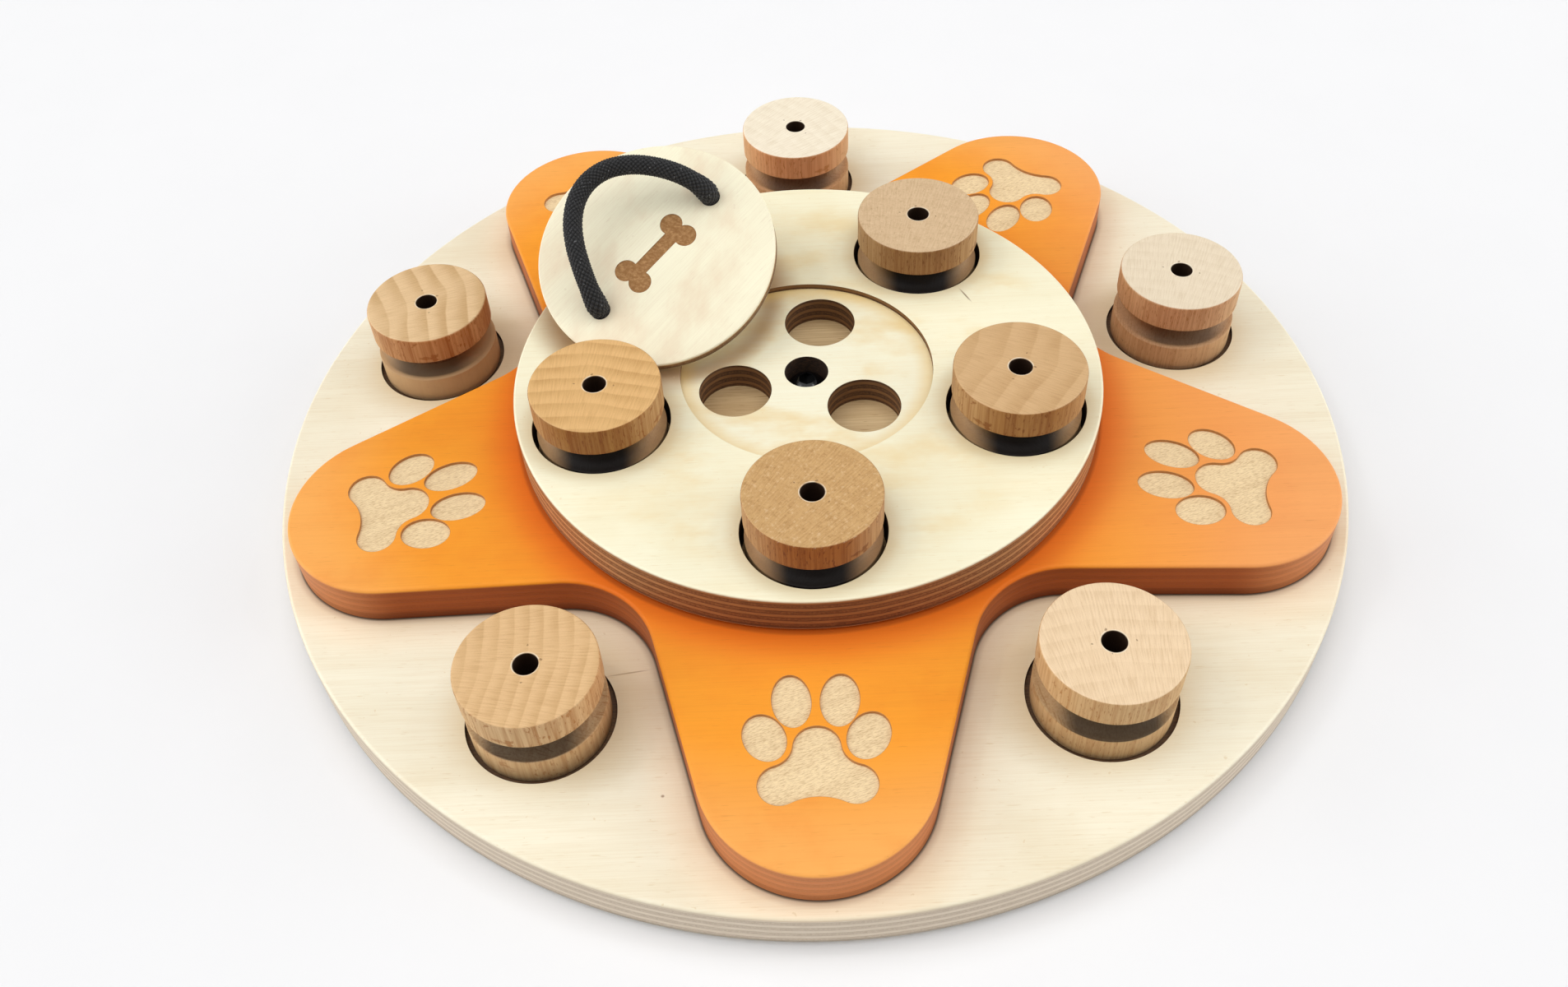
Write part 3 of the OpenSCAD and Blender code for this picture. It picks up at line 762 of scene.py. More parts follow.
def plies_material(name, foot, ply, light, dark, glue=0.5, place=None, foot_shade=None, burnt=None,
                   floor=None):
    """The cut edge of a plywood board that stands on the height foot, in its own place.

    Foot shade is a colour that darkens the lowest ply: painted shade at the foot of the edge.
    Burnt is a colour that browns the edge over the middle of its front: painted shade where the
    front gets less light. Floor is the colour of a pocket's ledge.
    """
    material, w, shader, at = new_material(name, 0.7)
    if place is not None:
        at = w.local(at, place)
    edge = w.group(plies_group, Vector=at, Foot=foot, Ply=ply, Light=light, Dark=dark, Glue=glue)
    colour = edge["Color"]
    x, y, height = w.xyz(at)
    # Painted shade at the foot of the edge
    if foot_shade:
        colour = w.over(colour, foot_shade, height, foot + 0.3 * MM, foot + 2.2 * MM, 0.8, 0)
    # Painted shade over the middle of the front
    if burnt:
        front = w.span(abs(x), 6 * MM, 62 * MM, 1, 0) * w.span(y, -20 * MM, 0, 1, 0)
        colour = w.mix(front, colour, w.mix(1.0, colour, burnt, "MULTIPLY"))
    if floor:
        fibres = w.span(w.noise(at, (300, 2600, 2600)), 0.4, 0.7, 0, 0.5)
        upward = w.xyz(w.node("TexCoord", {}, "Normal"))[2]
        colour = w.over(colour, w.mix(fibres, floor, linear(140, 98, 58)), upward, 0.6, 0.95)
    w.dress(shader, colour, edge["Height"], 0.00008, 0.7)
    return material


def stain_material(name, colours, foot, top, hub):
    """Satin stain: painted shade beside the hub's disc, and paler on the tips of the arms.

    Down a side it goes from the face's orange to brown, with painted light on sides that face
    along X and on the tips, painted shade at the foot, and the plies show through.
    """
    material, w, shader, at = new_material(name, 0.5, Specular_IOR_Level=0.15)
    reach, (x, _, height) = w.reach(at), w.xyz(at)
    tip, tip_end = hub + 42 * MM, hub + 60 * MM
    # Painted shade: the stain deepens beside the turntable's disc
    face = w.over(colours.stain, colours.deep_stain_and_shade, reach, hub - 8 * MM, hub + 20 * MM, 1, 0)
    face = w.over(face, colours.stain_pale, reach, hub + 28 * MM, hub + 62 * MM)
    face = w.over(face, colours.deep_stain_and_shade, w.noise(at, 55, detail=5, rough=0.6),
                  0.42, 0.75, 0, 0.2)
    face = w.over(face, linear(246, 166, 112), x, 50 * MM, 120 * MM, 0, 0.55)
    # Painted shade beside the turntable: a red ring, then a dark line where the disc meets the
    # star
    face = w.over(face, linear(238, 108, 26), reach, hub, hub + 12 * MM, 0.6, 0)
    face = w.over(face, linear(110, 44, 14), reach, hub + 0.3 * MM, hub + 1.5 * MM, 0.5, 0)
    grain = w.group(veneer_group, Vector=at, Light=face, Line=colours.stain_edge, Strength=0.14)
    nx, _, nz = w.xyz(w.node("TexCoord", {}, "Normal"))
    # Painted light: sides facing along X and the sides of the tips are lighter
    side = w.over(colours.stain_edge, colours.stain_lit_side, abs(nx), 0.3, 0.9, 0, 0.3)
    side = w.over(side, colours.stain_lit_tip, reach, tip, tip_end)
    plies = w.group(plies_group, Vector=at, Foot=foot, Ply=(top - foot) / PLIES, Light=side,
                    Dark=w.mix(0.25, side, linear(96, 42, 18)), Glue=0.2)
    # Painted shade: the side darkens towards its foot, less on the tips
    low = w.span(height, foot, foot + 5 * MM, 0.7, 0) * w.span(reach, tip, tip_end, 1, 0.4)
    side = w.mix(low, plies["Color"], linear(84, 36, 15))
    side = w.over(side, face, height, top - 1.3 * MM, top - 0.5 * MM, 0, 0.72)
    level = w.span(nz, 0.1, 0.6)
    w.dress(shader, w.mix(level, side, grain["Color"]),
            w.either(level, plies["Height"], grain["Height"] * 0.25), 0.00005, 0.5)
    return material


def bare_material(name, light, line, turn):
    """Milled bare wood: speckled short fibres."""
    material, w, shader, at = new_material(name, 0.75)
    turned = w.turned(at, -turn)
    fibres = w.noise(turned, (700, 3600, 3600), detail=3, rough=0.65)
    cloud = w.noise(turned, (60, 400, 400))
    tone = w.span(fibres, 0.38, 0.72, 0, 0.6) + w.span(cloud, 0.4, 0.8, 0, 0.2)
    w.dress(shader, w.mix(tone, light, line), fibres, 0.00006, 0.6)
    return material


def scorch_material(name, dark, light):
    """Wood burnt by the cutter: dark, with lighter scratches."""
    material, w, shader, at = new_material(name, 0.8)
    burn = w.noise(at, (900, 900, 2500), detail=3, rough=0.7)
    w.dress(shader, w.over(dark, light, burn, 0.35, 0.8, 0, 0.7), burn, 0.0001, 0.5)
    return material


def beech_material(name, lo, hi, look, pegs, deep_shade):
    """The turned beech of one peg, with the peg's own place in the tree.

    Painted shade fills the groove to a depth below the upper flange, on the front and back
    between the edges where it clears. Below its waist the peg may be pale, as painted light on
    the lower flange, and its foot darker with painted shade.
    """
    material, w, shader, at = new_material(name, 0.55, Specular_IOR_Level=0.25)
    half, middle = (hi - lo) / 2, (lo + hi) / 2
    radius, high = half[0], half[2] - pegs.flange
    local = w.turned(at, -math.radians(look["turn"]), tuple(middle))
    reach, z = w.reach(local), w.xyz(local)[2]
    facing = w.node("TexCoord", {}, "Normal")
    above = w.span(z, high, high + 0.4 * MM)
    light, dark, dent = (linear(*(c * k for c, k in zip(look["light"], shares)))
                         for shares in ((1, 1, 1), (0.84, 0.78, 0.68), (0.72, 0.64, 0.52)))
    wood = w.group(
        beech_group, Vector=local, Ring=look.get("ring", 4.2) * MM, Rings=look["rings"],
        Rays=look.get("rays", 0.3), Light=light, Dark=dark,
        Normal=w.node("VectorMath", {0: facing, "Scale": above}, operation="SCALE"),
        # Painted light: sides that face along X are lighter
        Side=w.over(linear(*look["side"]), linear(240, 206, 152), abs(w.xyz(facing)[0]),
                    0.35, 0.95, 0, 0.35))
    wear = w.group(wear_group, Vector=local)
    mottle = w.noise(local, 1100, detail=3, rough=0.7)
    crown = w.span(z, half[2] - 0.6 * MM, half[2] - 0.2 * MM, 0, look.get("mottle", 0))
    colour = w.mix(crown * w.span(mottle, 0.54, 0.68), wood["Color"], dent)
    colour = w.mix(crown * w.span(mottle, 0.34, 0.44, 0.7, 0), colour, linear(240, 216, 180))
    colour = w.mix(wear["Speck"] * 0.6, colour, linear(120, 84, 52))
    waist, low = (high - share * pegs.groove for share in (0.5, look.get("shade_depth", 1.0)))
    # Painted light: below the waist the wood turns a paler tan
    colour = w.over(colour, linear(200, 164, 120), z, waist - 0.5 * MM, waist,
                    look.get("pale", 0), 0)
    # Painted shade in the groove under the upper flange, strongest on the front and back
    lip = radius - look.get("lip", 0.3) * MM
    groove_shade = w.span(z, low, low + 0.05 * pegs.groove)
    groove_shade = groove_shade * w.span(z, high, high + 0.2 * MM, look.get("deep_shade", 0.9), 0)
    groove_shade = groove_shade * w.span(reach, lip - 0.5 * MM, lip, 1, 0)
    clear_from, clear_to = look.get("clear", (0.35, 0.95))
    front = w.span(abs(w.xyz(at)[0] - float(middle[0])), clear_from * radius,
                   clear_to * radius, 1, look.get("side_shade", 0.15))
    colour = w.mix(groove_shade * front, colour, deep_shade)
    # Painted shade at the peg's foot
    colour = w.over(colour, deep_shade, z, -half[2] + 2 * MM, -half[2] + 8 * MM,
                    look.get("foot", 0.15), 0)
    ring = w.span(reach, 0.5 * pegs.hole, 0.52 * pegs.hole)
    ring = ring * w.span(reach, 0.55 * pegs.hole, 0.59 * pegs.hole, 0.7, 0)
    ring = ring * w.span(w.noise(local, 260), 0.38, 0.6)
    colour = w.mix(ring, colour, linear(252, 240, 216))
    # Painted shade down the scent hole
    colour = w.over(colour, linear(50, 33, 22), reach, 0.505 * pegs.hole, 0.54 * pegs.hole, 1, 0)
    w.dress(shader, colour, wood["Height"], 0.00007, 0.7, wood["Roughness"])
    return material


def rope_material(name, colour):
    """Black polyester rope: painted highlights on the crests of its stitches, painted shade
    between them.
    """
    material, w, shader, at = new_material(name, 0.7, Sheen_Weight=0.15, Sheen_Roughness=0.5)
    yarn = w.noise(at, 2600, rough=0.7)
    fleck = w.span(w.noise(at, 1300, detail=1), 0.7, 0.76)
    crest = w.node("Attribute", {}, "Fac", attribute_name="crest")
    # Painted highlight on the stitches' crests, painted shade going to black between them
    lit = w.span(crest, 0.15, 0.95) * w.span(yarn, 0.25, 0.7, 0.6, 1)
    dull = w.mix(lit, (0.003, 0.003, 0.0035, 1), colour)
    w.dress(shader, w.mix(fleck * 0.5, dull, linear(150, 150, 152)), yarn, 0.0002, 0.8)
    return material


def darker(colour, share):
    """A colour at a share of its light."""
    return tuple(share * c for c in colour[:3]) + (1.0,)


def metal_material(name, colour, roughness, metallic):
    """Plated or blackened steel: fine brushing and a few handling smudges."""
    material, w, shader, at = new_material(name, roughness, Metallic=metallic,
                                           Specular_IOR_Level=0.4)
    brush = w.noise(at, (4000, 4000, 600))
    wear = w.group(wear_group, Vector=w.turned(at, scale=(6, 6, 6)))
    w.dress(shader, w.over(colour, darker(colour, 0.6), brush, 0.3, 0.8, 0, 0.3), brush, 0.00002,
            0.4, w.span(wear["Smudge"], 0, 1, roughness, roughness + 0.12))
    return material


def moulded_material(name, colour, roughness):
    """Moulded nylon or rubber: a fine even grain."""
    material, w, shader, at = new_material(name, roughness)
    grain = w.noise(at, 2200)
    w.dress(shader, w.over(colour, darker(colour, 0.7), grain, 0.3, 0.8, 0, 0.25), grain,
            0.00005, 0.5)
    return material


def paint_node(node, material):
    """Gives a CAD node that stays in view its material."""
    mesh = frame["nodes"][node].data
    mesh.materials.clear()
    mesh.materials.append(material)


# ---------------------------------------------------------------- the lid's place

def lid_matrix(lid):
    """From the lid's own frame to the row frame.

    The lid leans on the fifth turntable peg: from its foot, a reach and a shift away from that
    peg, it rises backwards until it meets the peg's upper rim.
    """
    lo, hi = box_of("turntable_peg_5")
    peg, peg_radius = (lo + hi) / 2, (hi[0] - lo[0]) / 2
    top = box_of("turntable")[1][2]
    tilt = math.atan((hi[2] - top) / (lid.lean_reach - peg_radius))
    a = lid.lean_direction
    foot_x = peg[0] + lid.lean_reach * math.cos(a) - lid.lean_shift * math.sin(a)
    foot_y = peg[1] + lid.lean_reach * math.sin(a) + lid.lean_shift * math.cos(a)
    return (Matrix.Translation((foot_x, foot_y, top)) @ Matrix.Rotation(a, 4, "Z")
            @ Matrix.Rotation(tilt, 4, "Y") @ Matrix.Translation((-lid_radius(lid), 0, lid.play)))


def lid_radius(lid):
    """The lid fills its recess but for the play."""
    return bpy.context.scene.feeder_turntable.recess_width / 2 - lid.play


# ---------------------------------------------------------------- operators

class FEEDER_OT_stage(bpy.types.Operator):
    """Sets up the camera, the floor and the lamps"""
    bl_idname = "feeder.stage"
    bl_label = "Stage"

    def execute(self, context):
        scene = context.scene
        stage, colours = scene.feeder_stage, scene.feeder_colours
        scene.view_settings.view_transform = "Standard"
        camera = bpy.data.objects.new("Camera", bpy.data.cameras.new("Camera"))
        scene.collection.objects.link(camera)
        scene.camera = camera
        camera.data.lens = stage.lens
        camera.data.sensor_width = 36.0
        camera.data.sensor_fit = "HORIZONTAL"
        camera.data.clip_start, camera.data.clip_end = 0.01, 50.0
        turn = Matrix.Rotation(stage.turn, 4, "Z")
        foot = Vector((0, 0, stage.aim[2]))
        place = foot + stage.distance * Vector((0, -math.cos(stage.elevation),
                                                math.sin(stage.elevation)))
        place, aim = turn @ place, turn @ Vector(stage.aim)
        ahead = (aim - place).normalized()
        right = ahead.cross(Vector((0, 0, 1))).normalized()
        down = ahead.cross(right)
        rolled = math.cos(stage.roll) * right + math.sin(stage.roll) * down
        under = math.cos(stage.roll) * down - math.sin(stage.roll) * right
        camera.matrix_world = (Matrix.Translation(place)
                               @ Matrix((rolled, -under, -ahead)).transposed().to_4x4())
        self.floor(scene, colours)
        self.lamps(scene, stage)
        return {"FINISHED"}

    def floor(self, scene, colours):
        """A wide pale floor."""
        half = 6.0
        mesh = bpy.data.meshes.new("Floor")
        mesh.from_pydata([(-half, -half, 0), (half, -half, 0), (half, half, 0), (-half, half, 0)],
                         [], [(0, 1, 2, 3)])
        floor = bpy.data.objects.new("Floor", mesh)
        scene.collection.objects.link(floor)
        material, w, shader, at = new_material("Pale floor", 0.9, Specular_IOR_Level=0.1)
        w.feed(shader["Base Color"], w.over(colours.floor, darker(colours.floor, 0.9),
                                            w.noise(at, 30), 0.3, 0.8, 0, 0.08))
        mesh.materials.append(material)

    def lamp(self, scene, name, kind, place, **settings):
        """A lamp that shines from a place towards the pivot's foot."""
        data = bpy.data.lights.new(name, kind)
        for setting, value in settings.items():
            setattr(data, setting, value)
        lamp = bpy.data.objects.new(name, data)
        lamp.location = place
        lamp.rotation_euler = Vector(place).to_track_quat("Z", "Y").to_euler()
        scene.collection.objects.link(lamp)

    def lamps(self, scene, stage):
        """A soft overhead lamp, a small lamp on each side and wide windows on both sides.

        The windows' light grows with a power of the share of X in its direction. The camera
        sees plain white in their place.
        """
        self.lamp(scene, "Overhead lamp", "SUN", (-0.14, -0.08, 1.0), energy=stage.lamp,
                  angle=stage.lamp_softness)
        for name, x in (("Left lamp", -0.5), ("Right lamp", 0.5)):
            self.lamp(scene, name, "AREA", (x, 0.02, 0.85), energy=0.3, size=0.03)
        world = bpy.data.worlds.new("Studio")
        world.use_nodes = True
        scene.world = world
        w = Wiring(world.node_tree)
        power, gain = 4.0, 8 * (1 - stage.even) * stage.sky
        seen = w.math("MAXIMUM", w.node("LightPath", {}, "Is Camera Ray"),
                      w.node("LightPath", {}, "Is Transmission Ray"))
        across = abs(w.xyz(w.node("TexCoord", {}, "Generated"))[0])
        sky = w.math("POWER", across, power) * gain + stage.even * stage.sky
        background = world.node_tree.nodes["Background"].inputs
        background["Color"].default_value = (1, 1, 1, 1)
        w.feed(background["Strength"], w.either(seen, sky, 1.0))


class FEEDER_OT_rope(bpy.types.Operator):
    """Makes the braided rope handle of the lid"""
    bl_idname = "feeder.rope"
    bl_label = "Rope handle"

    # Along the line of the holes, to its side and above the lid's top, in millimetres
    ROUTE = (
        (22.5, 0, -3.2), (22.5, 0, 0), (22.3, -0.8, 3), (21, -3.5, 6),
        (18.5, -8, 9), (15, -13.5, 11), (10.5, -18.5, 12.3), (5, -22, 13),
        (-1, -23.2, 13.2), (-7, -21.8, 13), (-12.2, -18, 12.4),
        (-16.3, -13, 11.2), (-19.4, -7.8, 9.2), (-21.4, -3.4, 6.2),
        (-22.3, -0.8, 3), (-22.5, 0, 0), (-22.5, 0, -3.2),
    )
    ACROSS = (0, 13, 23)

    def execute(self, context):
        lid, colours = context.scene.feeder_lid, context.scene.feeder_colours
        line = self.smooth_line(np.array(self.ROUTE, float) * MM, 480)
        skin = Skin()
        points, skin.crest = self.tube(line, lid)
        skin.grid(points, 0)
        matrix = (lid_matrix(lid) @ Matrix.Rotation(lid.rope_turn, 4, "Z")
                  @ Matrix.Translation((0, 0, lid.thickness)))
        rope = stand_in("rope_handle_braid", skin, [rope_material("Black rope", colours.rope)],
                        "rope_handle", matrix)
        return {"FINISHED"}

    def smooth_line(self, points, steps):
        """A Catmull-Rom curve through the points, at even distances along its length."""
        ends = np.concatenate([[2 * points[0] - points[1]], points, [2 * points[-1] - points[-2]]])
        t = np.linspace(0, len(points) - 1, 8 * steps)
        k = np.minimum(t.astype(int), len(points) - 2)
        u = (t - k)[:, None]
        a, b, c, d = ends[k], ends[k + 1], ends[k + 2], ends[k + 3]
        fine = 0.5 * (2 * b + (c - a) * u + (2 * a - 5 * b + 4 * c - d) * u ** 2
                      + (3 * b - a - 3 * c + d) * u ** 3)
        run = np.append(0, np.cumsum(np.linalg.norm(np.diff(fine, axis=0), axis=1)))
        even = np.linspace(0, run[-1], steps)
        return np.stack([np.interp(even, run, fine[:, axis]) for axis in range(3)], axis=1)

    def tube(self, line, lid):
        """A tube round a line, whose radius rises and falls with the stitches of a braid.

        Two families of strands cross: strand numbers p + q and p - q, with p counted round the
        rope and q along it, and a stitch is high where both are near the middle of a strand.
        The rope swells where it leaves a hole of the lid. The first and last rings close to a
        point. Returns the rings and each point's share of a stitch's height.
        """
        ahead = np.gradient(line, axis=0)
        ahead /= np.linalg.norm(ahead, axis=1, keepdims=True)
        side = np.cross(ahead, np.array(self.ACROSS, float))
        side /= np.linalg.norm(side, axis=1, keepdims=True)
        other = np.cross(ahead, side)
        radius = lid.rope_width / 2
        stitches = round(2 * np.pi * radius / lid.braid)
        turn = np.linspace(0, 2 * np.pi, 6 * stitches, endpoint=False)[None]
        run = np.append(0, np.cumsum(np.linalg.norm(np.diff(line, axis=0), axis=1)))[:, None]
        p, q = stitches * turn / 2, np.pi * run / lid.braid
        high = np.abs(np.cos(p + q) * np.cos(p - q)) ** 0.7
        above = np.minimum(run, run[-1] - run) + self.ROUTE[0][2] * MM
        swell = np.interp(above, np.array([0.2, 2, 3.5, 8]) * MM, [0, lid.swell, lid.swell, 0])
        spread = radius * (1 + swell) - lid.braid_relief * (1 - high) ** 1.3
        spread[0] = spread[-1] = 0
        direction = (np.cos(turn)[..., None] * side[:, None]
                     + np.sin(turn)[..., None] * other[:, None])
        return line[:, None] + spread[..., None] * direction, high.ravel()


class FEEDER_OT_base(bpy.types.Operator):
    """Makes the round birch base board with its peg pockets"""
    bl_idname = "feeder.base"
    bl_label = "Base board"

    # The painted shade rings lie a little nearer the pivot than the pegs, towards the star
    SHADE_SHIFT = 0.966

    def execute(self, context):
        boards, pivot = context.scene.feeder_boards, context.scene.feeder_turntable
        colours = context.scene.feeder_colours
        lo, hi = box_of("base_board")
        foot, top, radius = lo[2], hi[2], hi[0]
        face, edge, cut = 0, 1, 2
        rim = circle(radius, steps=256)
        skin = Skin()
        skin.side(rim, boards.base_edge, foot, top, edge, face, edge)
        mouths, heads, shade_rings = [], [], []
        wide = boards.pocket_width / 2
        for k in range(ARMS):
            centre = middle_of(f"base_peg_{k + 1}")
            # Painted shade round each pocket
            shade_rings.append((*(self.SHADE_SHIFT * centre), wide - 2 * MM, wide + 12 * MM, 0.5, PEG_SHADE_TINT))
            pocket = circle(0, centre)
            self.pocket(skin, pocket, boards, foot, top, cut)
            mouths.append(grown(pocket, wide + boards.mouth))
            screw = circle(0, polar(boards.screw_ring, arm_at(boards, k)), 32)
            self.screw_hole(skin, screw, boards, foot, top, cut)
            mouths.append(grown(screw, boards.screw_width / 2))
            heads.append(grown(screw, boards.screw_head / 2))
        bore = circle(0, steps=48)
        flange, barrel, hole = pivot.tee_width / 2, pivot.tee_barrel / 2, pivot.bolt_hole / 2
        skin.wall(bore, [
            (hole, top), (hole, foot + pivot.tee_bore), (barrel, foot + pivot.tee_bore),
            (barrel, foot + pivot.tee_depth), (flange, foot + pivot.tee_depth), (flange, foot),
        ], cut)
        mouths.append(grown(bore, hole))
        heads.append(grown(bore, flange))
        skin.flat(grown(rim, -boards.base_edge), mouths, top, face)
        skin.flat(grown(rim, -boards.base_edge), heads, foot, face, up=False)
        ply = (top - foot) / PLIES
        tip, hollow = star_centres(-box_of("star_board")[0][1], boards)
        star = dict(Turn=math.radians(arm_at(boards, 0)), Tip=tip, Tip_radius=boards.tip_radius,
                    Taper=boards.taper, Hollow=hollow, Hollow_radius=boards.bay_radius)
        middle, half = (top + foot) / 2, (top - foot) / 2
        stand_in("base_board_birch", skin, [
            veneer_material("Birch face", colours.birch, colours.birch_line,
                            strength=0.4, marks=((-48, -83, 7, 0.3, 8), (-38, -118, 0.6, 0.5, 0)),
                            # Painted shade round the pockets and beside the star
                            shade_rings=shade_rings, star=star,
                            burnt_rim=(middle, half - boards.base_edge, half - 0.1 * MM,
                                       linear(206, 190, 166))),
            # The edge's lowest ply darkened with painted shade
            plies_material("Birch edge", foot, ply, colours.ply_light, colours.ply_dark, 0.35,
                           foot_shade=linear(112, 98, 82)),
            # Pocket walls nearly black: painted shade over wood the cutter charred
            plies_material("Birch pocket", foot, ply, linear(52, 34, 22), colours.deep_shade,
                           floor=linear(92, 64, 40)),
        ], "base_board")
        return {"FINISHED"}

    def pocket(self, skin, pocket, boards, foot, top, cut):
        """A rounded mouth, a wall down to the ledge, and the treat well below it."""
        wide, well = boards.pocket_width / 2, boards.well_width / 2
        ledge, floor = top - boards.ledge_depth, foot + boards.well_floor
        skin.wall(pocket, [mouth_arc(wide, boards.mouth, top), (wide, ledge), (well, ledge),
                           (well, floor), (0, floor)], cut)

    def screw_hole(self, skin, screw, boards, foot, top, cut):
        """A through hole with a countersink from below."""
        shaft, head = boards.screw_width / 2, boards.screw_head / 2
        sink = foot + 0.4 * MM
        skin.wall(screw, [(shaft, top), (shaft, sink + head - shaft), (head, sink), (head, foot)],
                  cut)


class FEEDER_OT_star(bpy.types.Operator):
    """Makes the orange star with its engraved paw prints"""
    bl_idname = "feeder.star"
    bl_label = "Star"

    # Rounding at the mouth of an engraved mark
    PRINT_MOUTH = 0.12 * MM

    def execute(self, context):
        boards, pivot = context.scene.feeder_boards, context.scene.feeder_turntable
        colours = context.scene.feeder_colours
        lo, hi = box_of("star_board")
        foot, top, reach = lo[2], hi[2], -lo[1]
        stain, bare, scorch = 0, 1, 2
        rim = star_outline(reach, boards)
        low_edge = 0.4 * MM
        skin = Skin()
        edge = boards.star_edge
        skin.wall(rim, [arc((-low_edge, foot + low_edge), low_edge, -90, 0, 3),
                        arc((-edge, top - edge), edge, 0, 90, 8)], stain)
        prints, screws = [], []
        pilot_radius, pilot_wall, pilot_tip = boards.screw_width / 2, 6.5 * MM, 8.5 * MM
        for k in range(ARMS):
            centre = polar(reach - boards.paw_inset, arm_at(boards, k))
            for part in paw_outlines():
                mark = placed(part, centre, arm_at(boards, k) - 270)
                self.engrave(skin, mark, top, boards.paw_depth, bare, scorch)
                prints.append(grown(mark, self.PRINT_MOUTH))
            screw = circle(0, polar(boards.screw_ring, arm_at(boards, k)), 32)
            skin.wall(screw, [(0, foot + pilot_tip), (pilot_radius, foot + pilot_wall),
                              (pilot_radius, foot)], bare)
            screws.append(grown(screw, pilot_radius))
        bore, hole = circle(0, steps=48), pivot.bolt_hole / 2
        skin.wall(bore, [(hole, top), (hole, foot)], bare)
        prints.append(grown(bore, hole))
        screws.append(grown(bore, hole))
        skin.flat(grown(rim, -edge), prints, top, stain)
        skin.flat(grown(rim, -low_edge), screws, foot, bare, up=False)
        stand_in("star_board_stained", skin, [
            stain_material("Orange stain", colours, foot, top, box_of("turntable")[1][0]),
            bare_material("Engraved wood", colours.bare, linear(186, 146, 96), 0.35),
            scorch_material("Scorched wall", colours.scorch, linear(206, 150, 92)),
        ], "star_board")
        return {"FINISHED"}

    def engrave(self, skin, mark, top, depth, floor_finish, wall_finish):
        """Sinks an outline into the face: a rounded mouth, a scorched wall and a bare floor."""
        skin.wall(mark, [mouth_arc(0, self.PRINT_MOUTH, top, 2), (0, top - depth)], wall_finish)
        skin.flat(mark[0], [], top - depth, floor_finish)


